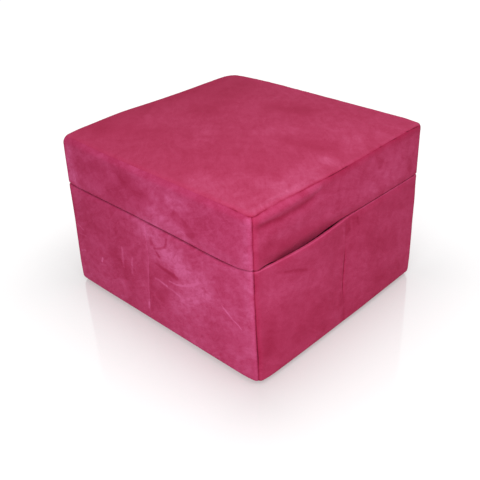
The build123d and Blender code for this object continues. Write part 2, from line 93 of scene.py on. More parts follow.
TOP_ROUND_FRONT = 6.0
TOP_ROUND_BACK = 2.0
TOP_SEAM_ANGLE = math.radians(55)
HEM_ROUND = 1.25
STAND_OFF = 2.0
SAG = 1.2
TUCK = math.radians(75)
LEAN = 3.3
DROOP = 5.0
MIDDLE_SEAM = 0.0
SLACK_FROM = -89.0
SLACK_TO = 6.0
LEAN_TO = 24.0
BOW_GAP = 0.3
SHUT = 0.3
FOLD_HEIGHTS = (14.0, 35.0, 58.0, 84.0)
FOLD_PLACES = (-8.6, -7.2, -3.6, -3.4)

# Direction outward, direction along, distance from the middle, half of the straight run
SIDES = {
    "front": ((0, -1), (1, 0), HALF_DEPTH, HALF_WIDTH - CORNER_ROUND),
    "right": ((1, 0), (0, 1), HALF_WIDTH, HALF_DEPTH - CORNER_ROUND),
    "back": ((0, 1), (-1, 0), HALF_DEPTH, HALF_WIDTH - CORNER_ROUND),
    "left": ((-1, 0), (0, -1), HALF_WIDTH, HALF_DEPTH - CORNER_ROUND),
}
HALF_TURN = CORNER_ROUND * math.pi / 4


# Fields of points

TABLE = np.random.RandomState(11).uniform(-1, 1, (64, 64))


def waves(x, y, size, seed):
    """Smooth random height from -1 to 1 whose bumps are about as wide as size."""
    cells = []
    shares = []
    for value, shift in ((x, 7.37), (y, 3.19)):
        value = np.asarray(value, float) / size + shift * seed
        cell = np.floor(value).astype(int)
        part = value - cell
        cells.append((cell % 64, (cell + 1) % 64))
        shares.append(part * part * (3 - 2 * part))
    (x_0, x_1), (y_0, y_1) = cells
    across, up = shares
    low = TABLE[x_0, y_0] * (1 - across) + TABLE[x_1, y_0] * across
    high = TABLE[x_0, y_1] * (1 - across) + TABLE[x_1, y_1] * across
    return low * (1 - up) + high * up


def hill(value, middle, reach):
    """Rounded bump of height 1."""
    return np.exp(-(((value - middle) / reach) ** 2))


def rise(value, low, high):
    """Smooth step from 0 at low to 1 at high."""
    part = np.clip((value - low) / (high - low), 0, 1)
    return part * part * (3 - 2 * part)


def graded(first, last, fine=0.35, coarse=2.0, reach=8.0):
    """Places from first to last, close together near both ends."""
    line = np.linspace(first, last, 4001)
    near = np.minimum(np.abs(line - first), np.abs(last - line))
    step = fine + (coarse - fine) * np.clip(near / reach, 0, 1)
    count = np.concatenate([[0], np.cumsum(np.abs(np.diff(line)) / step[:-1])])
    return np.interp(np.linspace(0, count[-1], int(round(count[-1])) + 1), count, line)


def outline(side, along):
    """Points on a side of the box's outline and their outward directions, at distances from its middle."""
    outward, tangent, reach, run = SIDES[side]
    outward = np.array([*outward, 0.0])
    tangent = np.array([*tangent, 0.0])
    over = np.clip(np.abs(along) - run, 0, None)
    turn = over / CORNER_ROUND * np.sign(along)
    flat = np.clip(along, -run, run) + CORNER_ROUND * np.sin(turn)
    deep = reach - CORNER_ROUND * (1 - np.cos(turn))
    points = flat[..., None] * tangent + deep[..., None] * outward
    normals = np.cos(turn)[..., None] * outward + np.sin(turn)[..., None] * tangent
    return points, normals


def grid_of(x, y, z):
    """Grid of points from their coordinates."""
    return np.stack(np.broadcast_arrays(x, y, z), -1)


def round_path(path, normals, offsets, heights):
    """Grid of points: a section's outward offsets and heights, set at every place of a path."""
    points = path[:, None, :] + normals[:, None, :] * offsets[..., None]
    points[..., 2] = heights
    return points


def joined(rows, *parts):
    """Offsets and heights of a section from those of its parts, with a row for every place."""
    pairs = [np.broadcast_arrays(*part, np.empty((rows, 1)))[:2] for part in parts]
    return [np.concatenate(line, 1) for line in zip(*pairs)]


def settle(points):
    """Settles the soft cover: fuller low on both sides and along the back, with rounded-off corners."""
    x, y, z = (points[..., i] for i in range(3))
    left = rise(-x, 40, 100)
    right = rise(x, 40, 100)
    corner = np.hypot(HALF_WIDTH - np.abs(x), HALF_DEPTH - np.abs(y))
    foremost = np.where((x > 0) & (y < 0), 1.0, 0.2)
    low = foremost * hill(corner, 0, 9) * (1 - rise(z, 0, 22))
    flare = 1.6 * right * (1 - rise(z, 0, 70)) * (1 - 0.9 * rise(y, 0, 80))
    wander = -1.8 * right * hill(y, 0, 22) * hill(z, 36, 16)
    top = rise(z, 112, HEIGHT) * hill(corner, 0, 11) * np.where(x < 0, 1.2, 0.8)
    lift = 2.1 * rise(y, -20, HALF_DEPTH) * (1 - 0.6 * left) + 2.0 * left * hill(y, -55, 55)
    x = x + left * (3.6 * z / HEIGHT - 2.0) + flare - np.sign(x) * 1.3 * low
    y = y + wander - np.sign(y) * 1.3 * low
    return grid_of(x, y, z + lift * rise(z, 98, 128) - top)


def grid_normals(points, outward):
    """Unit normals of a grid of points, on the side that outward points to."""
    normal = np.cross(np.gradient(points, axis=0), np.gradient(points, axis=1))
    normal = normal / np.maximum(np.linalg.norm(normal, axis=-1, keepdims=True), 1e-9)
    return normal * np.sign(np.sum(normal[:, points.shape[1] // 2] * outward))


# Meshes


def mesh_piece(name, points, faces, marks=None):
    """Object from points in millimetres, with its faces turned outward and smooth."""
    mesh = bpy.data.meshes.new(name)
    mesh.from_pydata((np.asarray(points) * MM).tolist(), [], [list(map(int, f)) for f in faces])
    work = bmesh.new()
    work.from_mesh(mesh)
    bmesh.ops.recalc_face_normals(work, faces=work.faces)
    work.to_mesh(mesh)
    work.free()
    for key, values in (marks or {}).items():
        layer = mesh.attributes.new(key, "FLOAT", "POINT")
        layer.data.foreach_set("value", np.asarray(values, np.float32).ravel())
    mesh.shade_smooth()
    mesh.set_sharp_from_angle(angle=math.radians(62))
    piece = bpy.data.objects.new(name, mesh)
    bpy.context.collection.objects.link(piece)
    return piece


def grid_faces(rows, columns, ring=False, tube=False, start=0):
    """Quads of a grid, closed on itself along its rows where it is a ring, and across them where a tube."""
    ids = np.arange(rows * columns).reshape(rows, columns) + start
    if ring:
        ids = np.concatenate([ids, ids[:1]])
    if tube:
        ids = np.concatenate([ids, ids[:, :1]], 1)
    return np.stack([ids[:-1, :-1], ids[1:, :-1], ids[1:, 1:], ids[:-1, 1:]], -1).reshape(-1, 4)


def cloth(name, outer, inner, wear_and_highlight=None, groove_shade=None, ring=False):
    """Closed sheet: two grids of points, one on each face, and a rim round both."""
    rows, columns = outer.shape[:2]
    count = rows * columns
    ids = np.arange(count).reshape(rows, columns)
    if ring:
        rims = [ids[:, 0], ids[::-1, -1]]
    else:
        rims = [np.concatenate([ids[:-1, 0], ids[-1, :-1], ids[:0:-1, -1], ids[0, :0:-1]])]
    faces = [grid_faces(rows, columns, ring), grid_faces(rows, columns, ring, start=count)[:, ::-1]]
    for rim in rims:
        after = np.roll(rim, -1)
        faces.append(np.stack([rim, rim + count, after + count, after], -1))
    points = np.concatenate([outer.reshape(-1, 3), inner.reshape(-1, 3)])
    marks = {}
    for key, values in (("wear_and_highlight", wear_and_highlight), ("groove_shade", groove_shade)):
        flat = np.zeros(count) if values is None else np.broadcast_to(values, (rows, columns)).ravel()
        marks[key] = np.concatenate([flat, np.zeros(count)])
    return mesh_piece(name, points, np.concatenate(faces), marks)


def dress(piece, material, body, node):
    """Material, body and CAD node of a new piece."""
    piece.data.materials.append(material)
    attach(piece, body)
    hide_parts(node)
    return piece


# Materials


def add(tree, kind, inputs=None, **settings):
    """Node with its settings, whose inputs are values or the sockets that feed them."""
    node = tree.nodes.new(kind)
    for key, value in settings.items():
        setattr(node, key, value)
    for key, value in (inputs or {}).items():
        if isinstance(value, bpy.types.NodeSocket):
            tree.links.new(value, node.inputs[key])
        else:
            node.inputs[key].default_value = value
    return node


def scalar(tree, operation, *values):
    """Socket of an operation on numbers."""
    return add(tree, "ShaderNodeMath", dict(enumerate(values)), operation=operation).outputs[0]


def vector(tree, operation, *values, give="Vector", **named):
    """Socket of an operation on vectors."""
    inputs = {**dict(enumerate(values)), **named}
    return add(tree, "ShaderNodeVectorMath", inputs, operation=operation).outputs[give]


def times_plus(tree, value, weight, plus):
    """Socket of value x weight + plus."""
    return scalar(tree, "MULTIPLY_ADD", value, weight, plus)


def smooth(tree, value, low, high):
    """Socket of a smooth step from 0 at low to 1 at high."""
    inputs = {"Value": value, "From Min": low, "From Max": high}
    return add(tree, "ShaderNodeMapRange", inputs, interpolation_type="SMOOTHSTEP").outputs["Result"]


def noise(tree, place, scale, detail=3.0, roughness=0.5, distortion=0.0, give="Fac"):
    """Socket of a noise whose features are 1/scale metres wide."""
    inputs = {"Vector": place, "Scale": scale, "Detail": detail}
    inputs.update({"Roughness": roughness, "Distortion": distortion})
    return add(tree, "ShaderNodeTexNoise", inputs).outputs[give]


def ramp(tree, value, stops):
    """Socket of a colour ramp with (place, colour) stops."""
    node = add(tree, "ShaderNodeValToRGB", {"Fac": value})
    elements = node.color_ramp.elements
    while len(elements) < len(stops):
        elements.new(0.5)
    for element, (place, colour) in zip(elements, stops):
        element.position = place
        element.color = (*colour, 1)
    return node.outputs["Color"]


def relief(tree, height, strength, distance):
    """Socket of normals bumped by a height."""
    inputs = {"Height": height, "Strength": strength, "Distance": distance}
    return add(tree, "ShaderNodeBump", inputs).outputs[0]


def new_material(name):
    """Material with an empty tree, and the socket of places in the object's own frame."""
    material = bpy.data.materials.new(name)
    material.use_nodes = True
    tree = material.node_tree
    tree.nodes.clear()
    return material, tree, add(tree, "ShaderNodeTexCoord").outputs["Object"]


def finish_material(material, inputs):
    """Ends a material with a surface of these inputs."""
    tree = material.node_tree
    shader = add(tree, "ShaderNodeBsdfPrincipled", inputs).outputs[0]
    add(tree, "ShaderNodeOutputMaterial", {"Surface": shader})
    return material


def mark_group():
    """Node group: 1 inside a soft capsule from Start to End, 0 outside it."""
    group = bpy.data.node_groups.new("stroke_capsule", "ShaderNodeTree")
    kinds = {"Place": "Vector", "Start": "Vector", "End": "Vector", "Inner": "Float", "Outer": "Float"}
    for name, kind in kinds.items():
        group.interface.new_socket(name, in_out="INPUT", socket_type=f"NodeSocket{kind}")
    group.interface.new_socket("Mark", in_out="OUTPUT", socket_type="NodeSocketFloat")
    given = group.nodes.new("NodeGroupInput").outputs
    offset = vector(group, "SUBTRACT", given["Place"], given["Start"])
    line = vector(group, "SUBTRACT", given["End"], given["Start"])
    along = vector(group, "DOT_PRODUCT", offset, line, give="Value")
    square = vector(group, "DOT_PRODUCT", line, line, give="Value")
    share = add(group, "ShaderNodeMath", {0: along, 1: square}, operation="DIVIDE", use_clamp=True)
    nearest = vector(group, "SCALE", line, Scale=share.outputs[0])
    away = vector(group, "DISTANCE", offset, nearest, give="Value")
    add(group, "NodeGroupOutput", {"Mark": smooth(group, away, given["Outer"], given["Inner"])})
    return group


STROKE_CAPSULE = mark_group()

# Shares of the nap's broad shades, clouds, mottling, streaks and patches, and of its grain
NAP_WEIGHTS = (0.36, 0.42, 0.54, 0.3, 0.08)
GRAIN_WEIGHT = 0.3
STREAK_LENGTH = 3.5
SWAY = 0.012
# Lighter nap along seams, hem folds and ridges: partly rubbed edges, partly painted highlight where they
# face the light
WEAR_AND_HIGHLIGHT_WEIGHT = 0.12
# Darker nap along seam lines and in creases: painted shade
GROOVE_SHADE_WEIGHT = -0.5


def stroke_marks(tree, place, plane, strokes):
    """Socket of the sum of strokes on a plane, whose edges drift by up to 2.5 mm."""
    spread = add(tree, "ShaderNodeSeparateXYZ", {"Vector": place}).outputs
    flat = add(tree, "ShaderNodeCombineXYZ", {"X": spread[plane[0]], "Y": spread[plane[1]]}).outputs[0]
    flat = vector(tree, "SCALE", flat, Scale=1 / MM)
    drift = noise(tree, place, 90.0, 3.0, give="Color")
    drift = vector(tree, "MULTIPLY_ADD", drift, (5.0, 5.0, 0.0), (-2.5, -2.5, 0.0))
    flat = vector(tree, "ADD", drift, flat)
    total = 0.0
    for strength, half, soft, from_x, from_y, to_x, to_y in strokes:
        inputs = {"Place": flat, "Start": (from_x, from_y, 0), "End": (to_x, to_y, 0)}
        inputs.update({"Inner": half - soft, "Outer": half + soft})
        mark = add(tree, "ShaderNodeGroup", inputs, node_tree=STROKE_CAPSULE).outputs[0]
        total = times_plus(tree, mark, strength, total)
    return total


def suede(name, stops, plane=(0, 2), strokes=(), lay=0.5, level=0.5, contrast=1.0, coarse=1.0, sheen=0.02):
    """Suede whose nap is brushed lighter and darker in clouds, patches and streaks, with listed strokes that
    are partly brushed marks and partly painted light and shade.

    The streaks lie at the angle lay on the panel's plane.
    """
    material, tree, place = new_material(name)
    across = 3 - sum(plane)
    rotation = [0.0, 0.0, 0.0]
    rotation[across] = -lay if across == 1 else lay
    stretch = [1.0, 1.0, 1.0]
    stretch[plane[0]] = STREAK_LENGTH
    sway = noise(tree, place, 38.0, 2.0, give="Color")
    swayed = vector(tree, "MULTIPLY_ADD", sway, (SWAY, SWAY, SWAY), place)
    inputs = {"Vector": swayed, "Rotation": rotation, "Scale": stretch}
    combed = add(tree, "ShaderNodeMapping", inputs, vector_type="TEXTURE").outputs[0]
    broad = noise(tree, place, 13.0 * coarse, 2.0, 0.5, 0.3)
    cloud = noise(tree, place, 55.0 * coarse, 5.0, 0.62, 0.5)
    mottle = noise(tree, place, 160.0 * coarse, 4.0, 0.6, 0.4)
    streak = noise(tree, combed, 520.0 * coarse, 3.0, 0.6, 0.6)
    grain = noise(tree, place, 1500.0, 2.0, 0.6)
    patch = smooth(tree, noise(tree, combed, 95.0 * coarse, 4.0, 0.6, 1.2), 0.47, 0.56)
    nap = level - 0.5 * GRAIN_WEIGHT - 0.5 * contrast * sum(NAP_WEIGHTS)
    for layer, weight in zip((broad, cloud, mottle, streak, patch), NAP_WEIGHTS):
        nap = times_plus(tree, layer, weight * contrast, nap)
    nap = times_plus(tree, grain, GRAIN_WEIGHT, nap)
    # Marks of each point: lighter nap at seams and folds, partly rubbed and partly painted highlight, and
    # painted shade along seam lines and creases
    for key, weight in (("wear_and_highlight", WEAR_AND_HIGHLIGHT_WEIGHT), ("groove_shade", GROOVE_SHADE_WEIGHT)):
        mark = add(tree, "ShaderNodeAttribute", attribute_name=key).outputs["Fac"]
        nap = times_plus(tree, mark, weight, nap)
    if strokes:
        # The strokes, partly brushed marks and partly painted light and shade, are broken up by the streaks
        # and mottling
        brushed = times_plus(tree, streak, 0.7, times_plus(tree, mottle, 0.7, -0.15))
        nap = times_plus(tree, stroke_marks(tree, place, plane, strokes), brushed, nap)
    height = times_plus(tree, streak, 0.5, times_plus(tree, cloud, 0.5, grain))
    inputs = {
        "Base Color": ramp(tree, nap, stops),
        "Roughness": 0.95,
        "Specular IOR Level": 0.08,
        "Sheen Weight": sheen,
        "Sheen Roughness": 0.5,
        "Sheen Tint": (1.0, 0.8, 0.85, 1.0),
        "Normal": relief(tree, height, 0.3, 0.0004),
    }
    return finish_material(material, inputs)


RASPBERRY = (
    (0.0, (0.15, 0.0065, 0.027)),
    (0.18, (0.355, 0.0165, 0.067)),
    (0.42, (0.44, 0.0345, 0.111)),
    (0.58, (0.495, 0.0503, 0.147)),
    (1.0, (0.64, 0.112, 0.273)),
)
# Copies of the colours for the top and the sides: painted light, tinted apart for how light falls on each
RASPBERRY_TOP = [(place, (red, 0.97 * green, 0.87 * blue)) for place, (red, green, blue) in RASPBERRY]
RASPBERRY_SIDE = [(place, (1.035 * red, green, 0.96 * blue)) for place, (red, green, blue) in RASPBERRY]

# Strokes on the nap, some of them painted light and shade: strength, half width, softness, start and end on
# the panel's plane, in millimetres
FRONT_STROKES = (
    (0.28, 6, 4, -90, 99, -87, 121),
    (0.2, 3, 2.5, -78, 103, -84, 97),
    (0.28, 5, 3, 27, 116, 38, 119),
    (0.26, 7, 4, 8, 99, 34, 96),
    # Painted highlight down the right-hand corner
    (0.28, 3.5, 2.5, 95, 58, 95, 124),
    # Painted shade along the top edge's rounding, where the lamps light it more
    (-0.2, 4, 4, -96, 130, 92, 130),
    (-0.26, 13, 11, -82, 44, -46, 50),
    (0.26, 10, 7, 3, 85, 22, 72),
    (0.28, 9, 6, 20, 72, 33, 66),
    (0.24, 9, 7, 38, 68, 56, 62),
    (0.2, 8, 6, -8, 84, 4, 84),
    (0.26, 8, 6, 34, 46, 56, 54),
    (0.2, 8, 6, 24, 33, 42, 42),
    (0.6, 0.7, 0.5, 17, 49, 32, 52),
    (0.6, 0.7, 0.5, 32, 52, 48, 62),
    (0.5, 0.8, 0.5, 2, 45, 13, 44),
    (0.3, 0.8, 0.6, 13, 44, 28, 41.5),
    (0.6, 0.6, 0.4, 71, 54, 87, 42),
    (0.45, 1.2, 1.0, -36, 40, -35, 56),
    (0.35, 1.0, 0.8, -26, 38, -24, 52),
    (0.5, 0.7, 0.5, -9.5, 13, -8.5, 20),
    (0.9, 0.9, 0.6, -65, 33, -63, 36),
    (0.4, 0.7, 0.5, -93, 56, -86, 53),
    (0.4, 0.7, 0.5, -94, 31, -87, 33),
    (0.3, 0.7, 0.5, -92, 47, -84, 48),
    (-0.6, 0.9, 0.7, 4, 71.5, 15, 77.5),
    (-0.5, 1.0, 0.8, 16, 78.5, 19, 84.5),
    (-0.6, 1.4, 1.1, 6.5, 69, 8.5, 67.5),
    (-0.4, 1.8, 1.4, 1.6, 75, 1.6, 78),
    (-0.2, 1.6, 1.4, 27, 78, 29, 77),
    (-0.3, 5, 4, 5, 30, 12, 38),
    (-0.5, 1.5, 1.2, 5, 58.5, 27, 56),
    (-0.2, 5, 4, 2, 52, 16, 51),
    (-0.26, 14, 12, -80, 70, -45, 80),
    (-0.28, 12, 10, -70, 112, -20, 108),
    (-0.2, 8, 7, -30, 66, -14, 46),
    (-0.26, 8, 6, -44, 42, -28, 30),
    (-0.1, 8, 7, 45, 108, 75, 112),
    (-0.3, 7, 5, -22, 119, 0, 112),
    (-0.3, 4, 1.2, 30, 107, 45, 99),
    (-0.2, 7, 6, 60, 24, 85, 30),
    (-0.25, 4, 4, -96, 60, -94, 84),
)
RIGHT_STROKES = (
    (0.19, 16, 6, -22, 112, 88, 112),
    # Painted shade along the top edge's rounding
    (-0.34, 3.5, 3, -16, 131, 92, 131),
    # The next seven strokes paint light and shade on the drawn-in band: light on the puffed roll and on the
    # band below the crease, shade in the crease and over the gap
    (0.16, 5, 3, -85, 127, -35, 127),
    (0.15, 6, 4, -85, 113, -55, 112),
    (-0.12, 2.5, 2, -85, 121, -45, 120),
    (-0.16, 5, 4, -66, 96, -25, 97),
    (-0.08, 8, 6, -86, 98, -70, 100),
    (-0.16, 1.8, 1.6, -88, 121.5, -26, 121),
    (0.05, 7, 5, -76, 112, -40, 110),
    (-0.18, 6, 3, 5, 84, 9, 83),
    (-0.14, 1.4, 1.2, 8, 88, 13, 86.5),
    (-0.24, 1.2, 1.0, 13.5, 86, 14.8, 80),
    (-0.2, 2.2, 2.0, 3, 80, 0.5, 79),
    (0.16, 1.2, 1.0, 5.5, 86, 6.5, 81),
    (0.2, 1.2, 1.0, -3, 84, -1.5, 76),
    (-0.28, 3, 2, 33, 124, 38, 119),
    (-0.25, 3.5, 2.5, 76, 106, 79, 100),
    (-0.25, 3, 3, -3, 28, -3, 22),
    (-0.2, 2.5, 2.5, -1, 14, -1, 8),
    # Painted shade in the crease under the slack hem
    (-0.18, 0.8, 0.8, -66, 80, -44, 71),
    # Painted shade along the front corner's seam
    (-0.3, 1.8, 1.4, -91.5, 12, -91.5, 88),
    (0.08, 22, 14, 26, 45, 86, 45),
    (-0.18, 6, 5, -84, 26, -82, 50),
    (0.12, 8, 6, 30, 100, 80, 112),
    (0.14, 8, 6, -80, 70, -30, 60),
    (-0.16, 10, 8, -80, 30, -30, 20),
    (-0.14, 6, 5, 24, 62, 60, 42),
    (-0.14, 6, 5, 30, 28, 70, 14),
    (0.12, 6, 5, 30, 78, 80, 60),
)
TOP_STROKES = (
    (0.17, 8, 6, 20, 5, 30, 20),
    (0.17, 7, 6, -18, -16, 0, -35),
    (0.16, 3, 2.5, -72, -28, -62, -38),
    (0.24, 4, 2.5, 82, -3, 92, -4),
    # The next nine strokes are painted light: lighter towards the right-hand and front edges, darker towards
    # the left, as light falls from the right
    (0.22, 10, 8, 82, -8, 90, -60),
    (0.3, 10, 8, 40, -78, 85, -82),
    (0.25, 8, 6, 60, -60, 90, -50),
    (0.22, 7, 5, 80, 36, 90, 22),
    (0.3, 2.5, 2, 94, -85, 94, -30),
    (0.15, 18, 14, 50, 40, 85, 55),
    (-0.3, 18, 18, -95, 80, -92, -60),
    (-0.22, 14, 12, -60, 70, -50, 10),
    (-0.15, 10, 8, -40, -45, -70, -65),
    (-0.2, 7, 6, 48, 5, 72, 10),
    (-0.18, 9, 8, -5, 45, 18, 55),
)


def turned(strokes):
    """The broad ones of a panel's strokes, turned round for the panel on the far side."""
    return [(a, half, c, -x, y, -u, v) for a, half, c, x, y, u, v in strokes if half > 2.5]


# Sewn cover


def slack_at(along):
    """How slack the right side's hem is, from 0 to 1, at places along it."""
    part = np.clip((along - SLACK_FROM) / (SLACK_TO - SLACK_FROM), 0, 1)
    return np.sin(math.pi * part) ** 1.15


def drawn_at(along):
    """How far the lid's lower band is drawn in, from 0 to 1, at places along the right side."""
    return rise(along, -92, -62) * (1 - rise(along, -40, LEAN_TO))


def droop_at(drawn):
    """How far the lid's hem comes down behind the slack one, where it is drawn in so far."""
    return DROOP * drawn**2


def bow_at(along):
    """How far the front's split line bows down at places along it."""
    run = HALF_WIDTH - CORNER_ROUND
    bow = 0.75 + 0.25 * hill(along, 8, 26) + 1.6 * hill(along, 68, 36)
    return bow * rise(run - np.abs(along), -4, 9)


def hem_drop_at(along):
    """How far the front's base hem lies below the bow: a gap right of the middle, closed at the corner."""
    shut = rise(along, 76, 90)
    wide = rise(along, -14, 4) * (1 - rise(along, 66, 82))
    return BOW_GAP * rise(along, -99, -94) * (1 - shut) + 0.5 * wide - SHUT * shut


def top_round_at(y):
    """Radius of the lid's top edge: large in front, where the cloth runs over it, small behind."""
    return TOP_ROUND_FRONT + (TOP_ROUND_BACK - TOP_ROUND_FRONT) * rise(y, -75, -25)


def base_section(slack, bow):
    """Base cover in section: offsets and heights from its turned-in hem down to its underside."""
    slack = slack[:, None]
    tuck = TUCK * slack
    centre_n = STAND_OFF * slack - HEM_ROUND
    centre_z = BASE_RIM - SAG * slack - HEM_ROUND - bow[:, None]
    end_n = centre_n - HEM_ROUND * np.sin(tuck)
    end_z = centre_z + HEM_ROUND * np.cos(tuck)
    short = 1 - 0.3 * hill(slack, 0.6, 0.2)
    turned_in = (SHELL - HEM_ROUND) * short * np.linspace(1, 0, 5, endpoint=False)
    over = (math.pi / 2 + tuck) * np.linspace(1, 0, 10)
    down = graded(0, 1, 0.008, 0.024, 0.1)[1:]
    under = np.linspace(0, -math.pi / 2, 8)[1:]
    edge_z = UNDERSIDE + EDGE_ROUND
    return joined(
        len(slack),
        (end_n - np.cos(tuck) * turned_in, end_z - np.sin(tuck) * turned_in),
        (centre_n + HEM_ROUND * np.cos(over), centre_z + HEM_ROUND * np.sin(over)),
        (STAND_OFF * slack * (1 - down) ** 2.2, centre_z + (edge_z - centre_z) * down),
        (EDGE_ROUND * (np.cos(under) - 1), edge_z + EDGE_ROUND * np.sin(under)),
        (np.linspace(-EDGE_ROUND, -SHELL, 3)[1:], UNDERSIDE),
    )


def drawn_profile(down):
    """Share of the drawn-in band's lean at shares of the way down: slight at first, then steep."""
    return 0.35 * rise(down, 0.2, 1.1) / rise(1.0, 0.2, 1.1) + 0.65 * rise(down, 0.74, 1.0)


def lid_section(drawn, bow, top_round):
    """Lid side cover in section: offsets and heights from the top seam down and in under the rim."""
    drawn = drawn[:, None]
    top_round = top_round[:, None]
    shoulder = HEIGHT - top_round
    hem_n = -LEAN * drawn
    hem_z = LID_RIM + HEM_ROUND - droop_at(drawn) - bow[:, None]
    start_n = hem_n - HEM_ROUND
    start_z = hem_z - HEM_ROUND
    over = TOP_SEAM_ANGLE * np.linspace(1, 0, 9)
    down = graded(0, 1, 0.015, 0.05, 0.2)[1:]
    under = np.linspace(0, -math.pi / 2, 8)[1:]
    inward = np.linspace(0, 1, 5)[1:]
    bent = inward ** (1 + 1.5 * drawn)
    return joined(
        len(drawn),
        (top_round * (np.cos(over) - 1), shoulder + top_round * np.sin(over)),
        (hem_n * drawn_profile(down), shoulder + (hem_z - shoulder) * down),
        (hem_n + HEM_ROUND * (np.cos(under) - 1), hem_z + HEM_ROUND * np.sin(under)),
        (start_n + (-SHELL - 0.6 - start_n) * bent, start_z + (LID_RIM - start_z) * inward),
    )


def side_cover(body, part, side, along, section, field):
    """Sewn panel of one side, displaced along its normals by field(along, height, offset)."""
    offsets, heights = section
    points, outward = outline(side, along)
    base = round_path(points, outward, offsets, heights)
    normals = grid_normals(base, outward)
    push, wear_and_highlight, groove_shade = field(along[:, None], heights, offsets)
    outer = base + normals * push[..., None]
    glued = (1 - rise(offsets, -SHELL, -SHELL + 2.5)) * (heights < EDGE_ROUND)
    outer = outer + (settle(outer) - outer) * (1 - glued[..., None])
    piece = cloth(f"suede_{body}_{part}", outer, outer - normals * COVER, wear_and_highlight, groove_shade)
    dress(piece, cover_materials[side], body, f"{body}_cover_{part}")


def seam(away, depth=0.7, width=0.9):
    """Push across a seam, lighter nap beside it, partly rubbed and partly painted highlight, and painted
    shade along it, at distances from its line.
    """
    push = -depth * hill(away, 0, width) + 0.15 * hill(away, 2.6, 1.3)
    return push, 0.5 * hill(away, 1.8, 0.9), hill(away, 0, 0.55)


def seam_shown(side, along, height):
    """How much a side's seams show: the right side's middle seam fades out above and below its middle."""
    if side != "right":
        return (0.7 if side == "front" else 0.45) + 0 * height
    middle = (0.7 + 0.3 * waves(height, 0, 9, 8)) * (1 - 0.85 * rise(height, 58, 70))
    middle = middle * (0.15 + 0.85 * rise(height, 22, 36))
    return np.where(np.abs(along) < 20, middle, 0.6)


def side_field(side, first, last, low, high, seed, extra):
    """Field of a side panel: seams at both ends, a soft swelling, a slight unevenness and its own extra."""

    def field(along, height, offset):
        ends = np.minimum(along - first, last - along) + 0 * height
        shown = seam_shown(side, along, height)
        push, wear_and_highlight, groove_shade = (shown * part for part in seam(ends))
        wear_and_highlight = wear_and_highlight * (0.1 if side == "right" else 1.0)
        face = rise(height, low, low + 6) * (1 - rise(height, high - 5, high))
        swelling = 0.7 * face * (1 - hill(ends, 0, 16))
        rough = face * (0.3 * waves(along, height, 38, seed) + 0.1 * waves(along, height, 11, seed + 1))
        push = push * rise(offset, -3.5, -1.0) + swelling + rough
        more, more_wear_and_highlight, more_groove_shade = extra(along, height, offset)
        return push + more, wear_and_highlight + more_wear_and_highlight, groove_shade + more_groove_shade

    return field


def base_extra(along, height, offset):
    """Hem of the base: lighter along its fold, partly rubbed and partly a painted highlight."""
    return 0 * height, 0.45 * hill(height, BASE_RIM - 0.8, 1.0) + 0 * along, 0 * height


def front_base_extra(along, height, offset):
    """Front of the base: its hem, and a pressed fold near its middle with painted light on its left, painted
    shade on its right and a painted highlight along its line.
    """
    push, wear_and_highlight, groove_shade = base_extra(along, height, offset)
    away = along - np.interp(height, FOLD_HEIGHTS, FOLD_PLACES)
    foot = rise(height, 8, 16)
    line = foot * (1 - rise(height, 82, 88))
    shade = foot * (1 - rise(height, 52, 62)) * np.exp(-np.abs(away) / 7)
    wear_and_highlight = wear_and_highlight + 0.8 * shade * (away < 0) + 0.9 * line * hill(away, -0.6, 0.4)
    return push - 0.25 * line * hill(away, 0, 0.5), wear_and_highlight, groove_shade + 0.25 * shade * (away >= 0)


def slack_extra(along, height, offset):
    """Slack hem of the base: a painted highlight along its fold, flattened where it turns in, with a crease
    below it darkened by painted shade.
    """
    slack = slack_at(along)
    turned_in = (1 - rise(offset, -2.6, -1.0)) * (height > 80)
    line = 80 - 0.42 * (along + 66)
    crease = hill(height, line, 1.4) * rise(along, -80, -66) * (1 - rise(along, -48, -36))
    push = -0.35 * crease - 0.9 * slack * turned_in
    return push, 2.6 * hill(height, BASE_RIM - SAG * slack - 0.3, 0.3), 0.25 * crease


def broken(along):
    """How much the lid's top seam shows at places along it: more in some stretches than in others."""
    shown = 0.45 + 0.65 * waves(along, 0, 14, 7) + 0.35 * waves(along, 0, 3.0, 6)
    return np.clip(shown + 0.6 * rise(np.abs(along), 74, 88), 0.08, 1.1)


def lid_extra(along, height, offset):
    """Top seam of the lid side, with painted shade along it and lighter nap beside it, partly rubbed and
    partly painted highlight, and the hem along its rim.
    """
    away = np.hypot(height - height[:, :1], offset - offset[:, :1])
    depth = 0.24 + 0.18 * waves(along, 0, 17, 5)
    pucker = waves(along, 0, 3.0, 6)
    push = -depth * hill(away, 0, 0.8) + 0.12 * hill(away, 3.2, 1.3) + 0.2 * pucker * hill(away, 1.6, 1.4)
    return push, 0.35 * hill(away, 2.2, 1.1), broken(along) * hill(away, 0, 0.55)


def far_lid_extra(along, height, offset):
    """Back and left of the lid: the same seam, lying flatter."""
    push, wear_and_highlight, groove_shade = lid_extra(along, height, offset)
    return 0.7 * push, wear_and_highlight, 0.5 * groove_shade


def front_lid_extra(along, height, offset):
    """Front of the lid: its top seam shows only near the right corner."""
    push, wear_and_highlight, groove_shade = lid_extra(along, height, offset)
    shown = 0.15 + 0.85 * rise(along, 55, 85)
    return push * shown, wear_and_highlight * shown, groove_shade * shown


